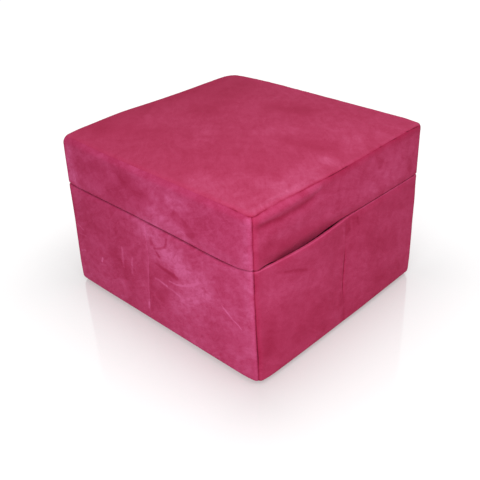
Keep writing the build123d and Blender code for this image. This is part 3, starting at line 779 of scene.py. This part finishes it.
def drawn_extra(along, height, offset):
    """Right side of the lid: a puffed roll under the top seam, the crease below it with painted shade in it,
    and a soft swelling.
    """
    push, wear_and_highlight, groove_shade = lid_extra(along, height, offset)
    face = rise(offset, -6, -3.4)
    part = rise(along, -96, -80) * (1 - rise(along, -42, -10))
    crease = 121.5 - 2 * hill(along, -55, 20) + 9 * rise(along, -45, -10)
    push = push + face * part * (1.1 * hill(height, 126.5, 3.6) + 0.5 * hill(height, 112, 5))
    push = push - 0.65 * face * part * hill(height, crease, 1.9)
    return push, wear_and_highlight, groove_shade + 0.15 * face * part * hill(height, crease, 1.6)


lid_extras = {"front": front_lid_extra, "right": drawn_extra}
base_extras = {"front": front_base_extra}
cover_materials = {
    # Each panel's suede has its own level: painted light, lighter or darker for how light falls on that face
    "front": suede("suede_front", RASPBERRY, (0, 2), FRONT_STROKES, 0.5, 0.57),
    "right": suede("suede_right", RASPBERRY_SIDE, (1, 2), RIGHT_STROKES, -0.42, 0.41, 0.65, 0.65),
    "back": suede("suede_back", RASPBERRY, (0, 2), turned(FRONT_STROKES), -0.5, 0.55),
    "left": suede("suede_left", RASPBERRY_SIDE, (1, 2), turned(RIGHT_STROKES), 0.42, 0.47, 0.65, 0.65),
    "top": suede("suede_top", RASPBERRY_TOP, (0, 1), TOP_STROKES, -0.75, 0.49, 0.5, 0.75),
}

for side in SIDES:
    last = SIDES[side][3] + HALF_TURN
    along = graded(-last, last, 0.35, 1.3)
    if side == "front":
        along = np.concatenate([along[along < -11.3], np.arange(-11, -1.2, 0.4), along[along > -1]])
    none = np.zeros(len(along))
    drawn = drawn_at(along) if side == "right" else none
    bow = bow_at(along) if side == "front" else none
    section = lid_section(drawn, bow, top_round_at(outline(side, along)[0][:, 1]))
    field = side_field(side, -last, last, LID_RIM, HEIGHT, 3, lid_extras.get(side, far_lid_extra))
    side_cover("lid", side, side, along, section, field)
    if side != "right":
        section = base_section(none, bow + hem_drop_at(along) if side == "front" else none)
        field = side_field(side, -last, last, UNDERSIDE, BASE_RIM, 13, base_extras.get(side, base_extra))
        side_cover("base", side, side, along, section, field)

end = SIDES["right"][3] + HALF_TURN
for half, first, last in (("front", -end, MIDDLE_SEAM), ("rear", MIDDLE_SEAM, end)):
    along = graded(first, last)
    section = base_section(slack_at(along), -SHUT * (1 - rise(along, -91.6, -80)))
    field = side_field("right", first, last, UNDERSIDE, BASE_RIM, 23, slack_extra)
    side_cover("base", f"right_{half}", "right", along, section, field)


def round_corners(x, y, half_x, half_y, corner):
    """Places of a rectangle moved into a rounded one, and how far each then lies from its edge."""
    over_x = np.abs(x) - (half_x - corner)
    over_y = np.abs(y) - (half_y - corner)
    in_corner = (over_x > 0) & (over_y > 0)
    far = np.maximum(np.maximum(over_x, over_y), 1e-9)
    turn = np.where(over_x >= over_y, over_y / far, 2 - over_x / far) * math.pi / 4
    px = np.where(in_corner, np.sign(x) * (half_x - corner + far * np.cos(turn)), x)
    py = np.where(in_corner, np.sign(y) * (half_y - corner + far * np.sin(turn)), y)
    edge = np.where(in_corner, corner - far, np.minimum(half_x - np.abs(x), half_y - np.abs(y)))
    return px, py, edge


def grid_over(half_x, half_y, *steps):
    """Grid of places over a rectangle, close together near its edges."""
    return np.meshgrid(*(graded(-half, half, *steps) for half in (half_x, half_y)), indexing="ij")


def plate(half_x, half_y, corner, *steps):
    """Grid of places over a rounded rectangle, and how far each lies from its edge."""
    return round_corners(*grid_over(half_x, half_y, *steps), half_x, half_y, corner)


def rounded_over(edge, radius):
    """How far a surface falls towards a rounded edge, at distances from that edge."""
    over = np.clip(radius - edge, 0, radius)
    return radius - np.sqrt(radius**2 - over**2)


def lid_top():
    """Top panel: a crowned sheet that turns down to the seam all round."""
    x, y = grid_over(HALF_WIDTH, HALF_DEPTH)
    top_round = top_round_at(y)
    inset = top_round * (1 - math.cos(TOP_SEAM_ANGLE))
    half_x = HALF_WIDTH - inset
    half_y = HALF_DEPTH - inset
    x = x * half_x / HALF_WIDTH
    y = y * half_y / HALF_DEPTH
    x, y, edge = round_corners(x, y, half_x, half_y, CORNER_ROUND - inset)
    lower = np.clip(top_round - inset - edge, 0, None)
    height = HEIGHT - top_round + np.sqrt(top_round**2 - lower**2)
    height = height + CROWN * (1 - (x / half_x) ** 2) * (1 - (y / half_y) ** 2)
    base = grid_of(x, y, height)
    normals = grid_normals(base, np.array([0.0, 0.0, 1.0]))
    push, wear_and_highlight, groove_shade = seam(edge, 0.28, 0.8)
    shown = 0.15 + 0.85 * rise(np.maximum(x, y + 40), 55, 85)
    pucker = waves(x + y, 0, 3.0, 6) * hill(edge, 1.6, 1.4)
    push = (push + 0.15 * pucker) * shown
    push = push + rise(edge, 2, 12) * (0.25 * waves(x, y, 45, 31) + 0.08 * waves(x, y, 12, 32))
    # Lighter nap beside the seam: partly rubbed, partly painted highlight
    wear_and_highlight = 0.6 * wear_and_highlight * shown
    nearest_side = HALF_WIDTH - np.abs(x) < HALF_DEPTH - np.abs(y)
    # Painted shade along the top seam's line
    groove_shade = 0.55 * groove_shade * shown * broken(np.where(nearest_side, y, x))
    outer = settle(base + normals * push[..., None])
    piece = cloth("suede_lid_top", outer, outer - normals * COVER, wear_and_highlight, groove_shade)
    dress(piece, cover_materials["top"], "lid", "lid_cover_top")


lid_top()

# More materials


def fibre(name, dark, light, scale, bump=0.4):
    """Tangled fibres over soft clouds, for felt, wadding and fibreboard."""
    material, tree, place = new_material(name)
    cloud = noise(tree, place, scale * 0.1, 3.0)
    tangle = noise(tree, place, scale, 5.0, 0.7, 2.0)
    fine = noise(tree, place, scale * 3.5, 3.0, 0.6)
    tone = times_plus(tree, cloud, 0.4, times_plus(tree, tangle, 0.8, -0.1))
    colour = ramp(tree, tone, ((0.3, dark), (0.75, light)))
    normal = relief(tree, times_plus(tree, fine, 0.5, tangle), bump, 0.0005)
    inputs = {"Base Color": colour, "Roughness": 0.97, "Specular IOR Level": 0.1, "Normal": normal}
    return finish_material(material, inputs)


def metal(name, dark, light, smooth_at, dull_at, stretch=(1.0, 1.0, 0.08)):
    """Metal with fine brushing, handling marks and a roughness that varies with them."""
    material, tree, place = new_material(name)
    brushed = add(tree, "ShaderNodeMapping", {"Vector": place, "Scale": stretch}).outputs[0]
    lines = noise(tree, brushed, 2600.0, 3.0, 0.6)
    marks = noise(tree, place, 240.0, 4.0, 0.6, 0.4)
    tone = times_plus(tree, marks, 0.6, times_plus(tree, lines, 0.4, 0.0))
    colour = ramp(tree, tone, ((0.3, dark), (0.7, light)))
    gloss = ramp(tree, tone, ((0.3, (smooth_at,) * 3), (0.7, (dull_at,) * 3)))
    normal = relief(tree, lines, 0.12, 0.0002)
    inputs = {"Base Color": colour, "Metallic": 1.0, "Roughness": gloss, "Normal": normal}
    return finish_material(material, inputs)


def ribbon_material():
    """Ribbed satin ribbon."""
    material, tree, place = new_material("ribbon")
    inputs = {"Vector": place, "Scale": 520.0, "Distortion": 0.6, "Detail": 2.0}
    ribs = add(tree, "ShaderNodeTexWave", inputs, bands_direction="Z").outputs["Fac"]
    thread = noise(tree, place, 1800.0, 3.0, 0.6)
    tone = times_plus(tree, ribs, 0.5, times_plus(tree, thread, 0.5, 0.0))
    colour = ramp(tree, tone, ((0.2, (0.2, 0.008, 0.035)), (0.8, (0.46, 0.05, 0.13))))
    normal = relief(tree, tone, 0.5, 0.0003)
    inputs = {"Base Color": colour, "Roughness": 0.42, "Sheen Weight": 0.3, "Normal": normal}
    return finish_material(material, inputs)


IVORY = (
    (0.15, (0.46, 0.36, 0.285)),
    (0.4, (0.58, 0.475, 0.385)),
    (0.6, (0.67, 0.56, 0.46)),
    (0.95, (0.8, 0.7, 0.6)),
)
ivory = suede("suede_ivory", IVORY, contrast=0.6, coarse=1.3, sheen=0.15)
tray_ivory = suede("suede_tray", IVORY, lay=-0.4, contrast=0.7, coarse=1.5, sheen=0.15)
# The wadding is near-black raspberry as painted shade, so the gap under the lid's hem reads dark
wadding_dark_as_shade = fibre("wadding_painted_shade_dark", (0.045, 0.002, 0.012), (0.13, 0.008, 0.036), 700.0, 0.7)
felt_fibre = fibre("pressed_felt", (0.055, 0.006, 0.016), (0.13, 0.018, 0.042), 1100.0, 0.5)

# Padding between the boards and the cover


def ring_path(half_x, half_y, corner, step, cuts=()):
    """Points round a rounded rectangle and their outward directions, with places to cut its back at."""
    arcs = []
    for turn, way in enumerate(((1, -1), (1, 1), (-1, 1), (-1, -1))):
        angle = math.pi / 2 * (turn - 1) + np.linspace(0, math.pi / 2, 7)
        spokes = np.stack([np.cos(angle), np.sin(angle), 0 * angle], -1)
        centre = np.array([way[0] * (half_x - corner), way[1] * (half_y - corner), 0.0])
        arcs.append((centre + corner * spokes, spokes))
    points = []
    normals = []
    for turn in range(4):
        arc, spokes = arcs[turn]
        start = arc[-1]
        end = arcs[(turn + 1) % 4][0][0]
        shares = np.linspace(0, 1, int(round(np.linalg.norm(end - start) / step)) + 1)[1:-1]
        if turn == 1:
            shares = np.unique([*shares, *((start[0] - cut) / (start[0] - end[0]) for cut in cuts)])
        run = start + (end - start) * shares[:, None]
        points += [arc, run]
        normals += [spokes, np.repeat(spokes[-1:], len(run), 0)]
    return np.concatenate(points), np.concatenate(normals)


def padding_ring(name, node, body, low, top, set_in, foot):
    """Wadding round the boards; set_in tells how far its outer face stays in from the outline."""
    path, normals = ring_path(HALF_WIDTH, HALF_DEPTH, CORNER_ROUND, 3.0)
    top = top[:, None]
    face_low = low + foot
    outer_z = face_low + (top - 0.8 - face_low) * np.linspace(0, 1, 16)
    outer_n = -set_in(path, normals, outer_z)
    under = np.linspace(0, math.pi / 2, 5)[:-1]
    foot_n = outer_n[:, :1] - foot * (1 - np.sin(under))
    back = -SHELL + 0.05
    offsets, heights = joined(
        len(path),
        (np.maximum(foot_n, back + 0.1), face_low - foot * np.cos(under)),
        (np.maximum(outer_n, back + 0.2), outer_z),
        ((outer_n[:, -1:] + back) / 2, top),
        (back, top + (low - top) * np.linspace(0, 1, 9)),
    )
    points = round_path(path, normals, offsets, heights)
    soft = rise(offsets, back + 0.1, back + 1.6)[..., None]
    points = points * (1 - soft) + settle(points) * soft
    faces = grid_faces(*offsets.shape, ring=True, tube=True)
    piece = dress(mesh_piece(name, points.reshape(-1, 3), faces), wadding_dark_as_shade, body, node)


def on_side(path, normals, side):
    """1 at the places on one side of the outline, and their distances along it."""
    outward, tangent = (np.array([*way, 0.0]) for way in SIDES[side][:2])
    return (normals @ outward > 0.6).astype(float), path @ tangent


def base_set_in(path, normals, heights):
    """The base's wadding stays clear of the slack hem that hangs down inside the cover."""
    there, along = on_side(path, normals, "right")
    slack = there * rise(along, -89, -82) * (1 - rise(along, -6, 2))
    return 2.0 + 1.5 * slack[:, None] * rise(heights, 78, 83)


def lid_set_in(path, normals, heights):
    """The lid's wadding is thinner where the cover is drawn in."""
    there, along = on_side(path, normals, "right")
    drawn = there * drawn_at(along)
    shoulder = HEIGHT - TOP_ROUND_FRONT
    down = (shoulder - heights) / (shoulder - LID_RIM)
    return 2.0 + 3.0 * drawn[:, None] * np.clip(drawn_profile(down) + 0.1, 0, 1)


def paddings():
    """Wadding of the base's walls, the lid's walls and the lid's top."""
    path, normals = ring_path(HALF_WIDTH, HALF_DEPTH, CORNER_ROUND, 3.0)
    there, along = on_side(path, normals, "right")
    under_lid = LID_RIM - 0.2 - droop_at(there * drawn_at(along))
    there, along = on_side(path, normals, "front")
    low, high = BASE_WADDING
    top = np.minimum(high, under_lid)
    top = top - there * (bow_at(along) + np.maximum(hem_drop_at(along) - BOW_GAP, 0))
    padding_ring("base_padding", "base_wadding", "base", low, top, base_set_in, 2.4)
    low, high = LID_WADDING
    top = np.full(len(path), high)
    padding_ring("lid_side_padding", "lid_side_wadding", "lid", low, top, lid_set_in, 0.8)
    inset = 3.0
    x, y, edge = plate(HALF_WIDTH - inset, HALF_DEPTH - inset, CORNER_ROUND - inset, 0.6, 4.0, 10.0)
    crown = CROWN * (1 - (x / HALF_WIDTH) ** 2) * (1 - (y / HALF_DEPTH) ** 2)
    upper = settle(grid_of(x, y, HEIGHT - COVER - 0.9 + crown - rounded_over(edge, 2.5)))
    lower = grid_of(x, y, LID_BOARD_TOP + 0.05)
    piece = dress(cloth("lid_top_padding", upper, lower), wadding_dark_as_shade, "lid", "lid_top_wadding")


paddings()

# Linings, pads, ring rolls, pull tabs and the felt underneath

SWELL_FRAMES = 16
SWELL = {
    "quality": 4,
    "mass": 0.2,
    "tension_stiffness": 12,
    "compression_stiffness": 12,
    "shear_stiffness": 5,
    "bending_stiffness": 0.05,
    "shrink_min": -0.03,
    "use_pressure": True,
    "uniform_pressure_force": 4.0,
    "vertex_group_mass": "held",
}


def lining(name, node, body, rim, deep, up):
    """Suede lining down the walls and out over the rim, cut back for the hinges. Up is 1 or -1."""
    edges = [place + side * HINGE_HALF for place in (-HINGE_PLACE, HINGE_PLACE) for side in (-1, 1)]
    cuts = [edge + step for edge in edges for step in (-0.05, 0.05)]
    path, normals = ring_path(CLEAR_X, CLEAR_Y, LINING_CORNER, 2.5, cuts)
    rows = len(path)
    hinged = (normals[:, 1] > 0.99) & (np.abs(np.abs(path[:, 0]) - HINGE_PLACE) < HINGE_HALF)
    square = np.minimum(1 / np.abs(normals[:, :2]).max(1), 1.35)
    reach = (BOARD_X - CLEAR_X - 0.15 + LINING_CORNER) * square - LINING_CORNER
    reach = np.where(hinged, LINING + 0.1, reach)[:, None]
    flange = LINING + (reach - LINING) * np.linspace(1, 0, 7, endpoint=False)
    turn = np.linspace(math.pi / 2, math.pi, 8)
    level = rim - up * LINING
    wall = graded(0, 1, 0.006, 0.04, 0.1)[1:]
    wall_z = level + (deep - level) * wall
    rough = 0.14 * waves(np.arange(rows)[:, None] * 2.5, wall_z[None, :], 30, 51)
    rough = rough * rise(wall, 0.0, 0.1) * (1 - rise(wall, 0.92, 1.0))
    offsets, heights = joined(
        rows,
        (flange, rim),
        (LINING * (1 + np.cos(turn)), level + up * LINING * np.sin(turn)),
        (rough, wall_z),
    )
    depth = LINING - 0.1
    inner_n = offsets - depth * np.concatenate([0 * flange[0], np.cos(turn), -np.ones(len(wall))])
    inner_z = heights - depth * np.concatenate([1 + 0 * flange[0], np.sin(turn), 0 * wall]) * up
    outer = round_path(path, normals, offsets, heights)
    inner = round_path(path, normals, inner_n, inner_z)
    piece = dress(cloth(name, outer, inner, ring=True), ivory, body, node)


def swell(piece, held, cap):
    """Fills a padded piece: cloth a little larger than its form, blown up while the held points stay put."""
    before = np.empty(3 * len(piece.data.vertices))
    after = np.empty_like(before)
    piece.data.vertices.foreach_get("co", before)
    group = piece.vertex_groups.new(name="held")
    for index in np.flatnonzero(held > 0):
        group.add([int(index)], float(held[index]), "REPLACE")
    modifier = piece.modifiers.new("swell", "CLOTH")
    for key, value in SWELL.items():
        setattr(modifier.settings, key, value)
    modifier.settings.effector_weights.gravity = 0
    modifier.collision_settings.use_collision = False
    modifier.point_cache.frame_start = 1
    modifier.point_cache.frame_end = SWELL_FRAMES
    scene = bpy.context.scene
    for number in range(1, SWELL_FRAMES + 1):
        scene.frame_set(number)
    full = piece.evaluated_get(bpy.context.evaluated_depsgraph_get())
    full.data.vertices.foreach_get("co", after)
    piece.modifiers.remove(modifier)
    piece.vertex_groups.remove(group)
    scene.frame_set(1)
    moved = (after - before).reshape(-1, 3)
    far = np.linalg.norm(moved, axis=1, keepdims=True)
    moved = moved * np.tanh(far / (cap * MM)) * cap * MM / np.maximum(far, 1e-12)
    piece.data.vertices.foreach_set("co", before + moved.ravel())
    piece.data.update()


def floor_pad():
    """Floor pad: four cushioned cells, pressed flat where the dividers stand and along its edge."""
    half_x = CLEAR_X - 0.4
    half_y = CLEAR_Y - 0.4
    x, y, edge = plate(half_x, half_y, 1.5, 0.4, 2.2, 7.0)
    cell_x = 2 * np.abs(x) / half_x - 1
    cell_y = 2 * np.abs(y) / half_y - 1
    crown = 0.9 * np.clip(1 - cell_x**4, 0, 1) * np.clip(1 - cell_y**4, 0, 1)
    upper = grid_of(x, y, PAD_TOP - 0.03 + crown - 0.8 * rounded_over(edge, 3.0))
    lower = grid_of(x, y, FLOOR_TOP + 0.02)
    piece = dress(cloth("floor_cushion", upper, lower), ivory, "base", "floor_pad")
    near = np.minimum(np.minimum(np.abs(x), np.abs(y)), edge)
    swell(piece, np.concatenate([1 - rise(near.ravel(), 1.2, 2.6), np.ones(near.size)]), 1.6)


def ring_rolls():
    """Five soft rolls side by side, each pressed flat on the tray's floor and gathered at both ends."""
    length = graded(-ROLL_REACH, ROLL_REACH, 0.4, 2.8, 9.0)[:, None]
    flat_turn = math.asin(ROLL_FLAT / ROLL_ROUND)
    turn = np.linspace(-flat_turn, math.pi + flat_turn, 33)
    away = ROLL_REACH - np.abs(length)
    squeeze = 1 - 0.42 * (1 - np.sqrt(1 - (1 - np.clip(away / 4.5, 0, 1)) ** 2))
    points = []
    faces = []
    start = 0
    for roll in range(5):
        radius = (ROLL_ROUND - 0.35) * squeeze
        radius = radius + 0.22 * waves(length + 61 * roll, turn * 8, 22, 71 + roll)
        radius = radius + 0.22 * np.cos(9 * turn + roll) * hill(away, 0, 4.5)
        across = np.clip(radius * np.cos(turn), -ROLL_ROUND - 0.08, ROLL_ROUND + 0.08)
        up = np.maximum(ROLL_FLAT * squeeze + radius * np.sin(turn), 0.04)
        under = across[:, -1:] + (across[:, :1] - across[:, -1:]) * np.linspace(0, 1, 8)[1:-1]
        across = np.concatenate([across, under], 1)
        up = np.concatenate([up, np.full_like(under, 0.03)], 1)
        grid = grid_of(length, ROLL_FIRST + roll * ROLL_PITCH + across, TRAY_FLOOR + up)
        ids = np.arange(across.size).reshape(across.shape) + start
        faces += grid_faces(*across.shape, tube=True, start=start).tolist()
        points.append(grid.reshape(-1, 3))
        start += across.size
        for end in (0, -1):
            middle = grid[end].mean(0)
            middle[0] -= np.sign(middle[0]) * 0.9
            points.append(middle[None])
            faces += [[a, b, start] for a, b in zip(ids[end], np.roll(ids[end], -1))]
            start += 1
    points = np.concatenate(points)
    piece = mesh_piece("ring_roll_bank", points, faces)
    held = 1 - rise(points[:, 2] - TRAY_FLOOR, 0.5, 2.5)
    swell(piece, np.maximum(held, rise(np.abs(points[:, 0]), ROLL_REACH - 1.2, ROLL_REACH - 0.4)), 0.7)
    for vertex, place in zip(piece.data.vertices, points):
        middle = ROLL_FIRST + ROLL_PITCH * round((place[1] - ROLL_FIRST) / ROLL_PITCH)
        side = vertex.co.y / MM - middle
        vertex.co.y = (middle + max(-ROLL_HALF, min(ROLL_HALF, side))) * MM
    dress(piece, ivory, "tray", "ring_rolls")


def pull_tab(hand):
    """Ribbon folded over into a loop above a side wall of the tray."""
    name = "left" if hand < 0 else "right"
    low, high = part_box(f"tray_tab_{name}")
    middle = (low.x + high.x) / 2 / MM
    foot = low.z / MM
    level = high.z / MM - TAB_OUTER
    radius = TAB_OUTER - TAB_THICK / 2 - 0.05
    leg = np.linspace(foot + 0.1, level, 12)
    turn = np.linspace(math.pi, 0, 15)[1:-1]
    out_x = np.concatenate([np.full(len(leg), -1.0), np.cos(turn), np.full(len(leg), 1.0)])
    out_z = np.concatenate([0 * leg, np.sin(turn), 0 * leg])
    path_x = radius * out_x
    path_z = np.concatenate([leg, level + radius * np.sin(turn), leg[::-1]])
    y = graded(low.y / MM + 0.2, high.y / MM - 0.2, 0.25, 1.2, 2.0)
    half = TAB_THICK / 2 * (1 - 0.35 * hill(8 - np.abs(y), 0, 0.5))
    bow = np.abs(0.25 * waves(y, hand * 5, 7, 81)[None, :] * rise(path_z, foot + 1, level)[:, None])
    faces = []
    for way in (1, -1):
        x = middle + path_x[:, None] + way * half * out_x[:, None]
        faces.append(grid_of(x, y, path_z[:, None] + way * half * out_z[:, None] - bow))
    piece = dress(cloth(f"ribbon_tab_{name}", *faces), ribbon, "tray", f"tray_tab_{name}")


def felt_sheet():
    """Felt glued under the base, with pressed edges."""
    half_x = HALF_WIDTH - FELT_INSET
    half_y = HALF_DEPTH - FELT_INSET
    x, y, edge = plate(half_x, half_y, 2.0, 0.3, 4.0, 8.0)
    lower = grid_of(x, y, 0.02 + 0.6 * rounded_over(edge, 0.8) + 0.05 * np.abs(waves(x, y, 18, 91)))
    upper = grid_of(x, y, UNDERSIDE - 0.02)
    piece = dress(cloth("felt_underside", lower, upper), felt_fibre, "base", "underside_sheet")


lining("base_suede_lining", "base_lining", "base", BASE_BOARD_TOP + LINING, FLOOR_TOP + 0.1, 1)
lining("lid_suede_lining", "lid_lining", "lid", LID_BOARD_RIM - LINING, FRAME_LOW - 0.1, -1)
floor_pad()
ring_rolls()
ribbon = ribbon_material()
pull_tab(-1)
pull_tab(1)
felt_sheet()

# Materials of the solids that show as they are

brass = metal("brass", (0.56, 0.36, 0.12), (0.78, 0.56, 0.25), 0.22, 0.42)
steel = metal("plated_steel", (0.42, 0.42, 0.43), (0.62, 0.62, 0.63), 0.2, 0.4)
nickel = metal("nickel", (0.46, 0.45, 0.44), (0.66, 0.65, 0.63), 0.12, 0.3)
silver = metal("silvered_glass", (0.84, 0.86, 0.87), (0.88, 0.9, 0.91), 0.012, 0.05, (1.0, 1.0, 1.0))
board = fibre("fibreboard", (0.2, 0.13, 0.075), (0.44, 0.31, 0.19), 520.0)
HANDS = ("left", "right")
SOLIDS = (
    (board, ("base_floor", "lid_top_board")),
    (board, [f"{body}_wall_{side}" for body in ("base", "lid") for side in SIDES]),
    (tray_ivory, [f"tray_wall_{side}" for side in SIDES]),
    (tray_ivory, ("tray_floor", "tray_divider_long", "lower_divider_long", "lower_divider_cross")),
    (tray_ivory, [f"tray_{part}_{hand}" for part in ("divider_cross", "ledge") for hand in HANDS]),
    (ivory, ("mirror_frame",)),
    (silver, ("mirror",)),
    (brass, [f"hinge_{leaf}_{hand}" for leaf in ("base_leaf", "lid_leaf", "pin") for hand in HANDS]),
    (brass, ("hinge_base_screws", "hinge_lid_screws")),
    (steel, ("catch_plates",)),
    (nickel, ("lid_magnets",)),
)
for material, names in SOLIDS:
    for name in names:
        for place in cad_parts[name].material_slots:
            place.material = material


# Floor, light and camera

WHITE = (1, 1, 1, 1)

# The photograph's camera: width of the picture, focal length and shift in picture points, sensor in mm
PICTURE = 480
FOCAL = 723.4
SHIFT = -13.5
SENSOR = 36


def direct_rays(tree):
    """Socket that is 1 for what is seen, also in a mirror or through glass, and 0 for what only lights."""
    rays = add(tree, "ShaderNodeLightPath").outputs
    seen = scalar(tree, "MAXIMUM", rays["Is Camera Ray"], rays["Is Glossy Ray"])
    return scalar(tree, "MAXIMUM", seen, rays["Is Transmission Ray"])


def fading(tree, away, reach):
    """Socket of 1 that fades out with the distance away."""
    return scalar(tree, "EXPONENT", scalar(tree, "MULTIPLY", away, -1 / reach))


def floor_material():
    """White floor that keeps the shadow, glows less near the box's foot as a painted shadow, and mirrors the
    box softly near its foot.
    """
    material, tree, place = new_material("studio_floor")
    box = (HALF_WIDTH * MM, HALF_DEPTH * MM, 1.0)
    over = vector(tree, "SUBTRACT", vector(tree, "ABSOLUTE", place), box)
    away = vector(tree, "LENGTH", vector(tree, "MAXIMUM", over, (0, 0, 0)), give="Value")
    mirror = scalar(tree, "MULTIPLY", fading(tree, away, 0.042), 0.18)
    # Painted shadow: the floor's glow drops near the box's foot
    glow_with_painted_shadow = times_plus(tree, fading(tree, away, 0.07), -0.32, 0.76)
    lit = add(tree, "ShaderNodeBsdfDiffuse", {"Color": (0.45, 0.45, 0.45, 1)}).outputs[0]
    glow = add(tree, "ShaderNodeEmission", {"Color": WHITE, "Strength": glow_with_painted_shadow}).outputs[0]
    plain = add(tree, "ShaderNodeAddShader", {0: lit, 1: glow}).outputs[0]
    shine = add(tree, "ShaderNodeBsdfGlossy", {"Color": WHITE, "Roughness": 0.08}).outputs[0]
    seen = add(tree, "ShaderNodeMixShader", {0: mirror, 1: plain, 2: shine}).outputs[0]
    bounce = add(tree, "ShaderNodeBsdfDiffuse", {"Color": (0.85, 0.85, 0.85, 1)}).outputs[0]
    shader = add(tree, "ShaderNodeMixShader", {0: direct_rays(tree), 1: bounce, 2: seen}).outputs[0]
    add(tree, "ShaderNodeOutputMaterial", {"Surface": shader})
    return material


def studio():
    """Pale floor, even white surroundings and soft lamps."""
    bpy.ops.mesh.primitive_plane_add(size=12, location=(0, 0, -0.0002))
    floor = bpy.context.object
    floor.name = "floor"
    floor.data.materials.append(floor_material())
    world = bpy.data.worlds.new("studio")
    bpy.context.scene.world = world
    world.use_nodes = True
    tree = world.node_tree
    tree.nodes.clear()
    light = add(tree, "ShaderNodeBackground", {"Color": WHITE, "Strength": 0.62}).outputs[0]
    white = add(tree, "ShaderNodeBackground", {"Color": WHITE, "Strength": 1.0}).outputs[0]
    both = add(tree, "ShaderNodeMixShader", {0: direct_rays(tree), 1: light, 2: white}).outputs[0]
    add(tree, "ShaderNodeOutputWorld", {"Surface": both}, is_active_output=True)
    for name, place, power in (("key", (0.3, -0.42, 0.32), 0.8), ("fill", (0.25, -0.1, 0.7), 1.2)):
        lamp = bpy.data.lights.new(name, "AREA")
        lamp.energy = power
        lamp.size = 0.25
        holder = bpy.data.objects.new(name, lamp)
        holder.location = place
        aim = Vector((0, 0, 0.06)) - holder.location
        holder.rotation_euler = aim.to_track_quat("-Z", "Y").to_euler()
        bpy.context.collection.objects.link(holder)


def photo_camera():
    """Camera at the photograph's viewing angle."""
    turn = math.radians(-45.16)
    pitch = math.radians(29.74)
    roll = math.radians(-2.43)
    forward = Vector(
        (math.sin(turn) * math.cos(pitch), math.cos(turn) * math.cos(pitch), -math.sin(pitch))
    )
    level = Vector((math.cos(turn), -math.sin(turn), 0))
    upright = level.cross(forward)
    right = level * math.cos(roll) + upright * math.sin(roll)
    up = upright * math.cos(roll) - level * math.sin(roll)
    data = bpy.data.cameras.new("camera")
    data.lens = FOCAL / PICTURE * SENSOR
    data.sensor_width = SENSOR
    data.shift_y = SHIFT / PICTURE
    data.clip_start = 0.01
    camera = bpy.data.objects.new("camera", data)
    matrix = Matrix((right, up, -forward)).transposed().to_4x4()
    matrix.translation = Vector((0.35522, -0.35682, 0.33474))
    camera.matrix_world = matrix
    bpy.context.collection.objects.link(camera)
    bpy.context.scene.camera = camera


studio()
photo_camera()
bpy.context.scene.view_settings.view_transform = "Standard"
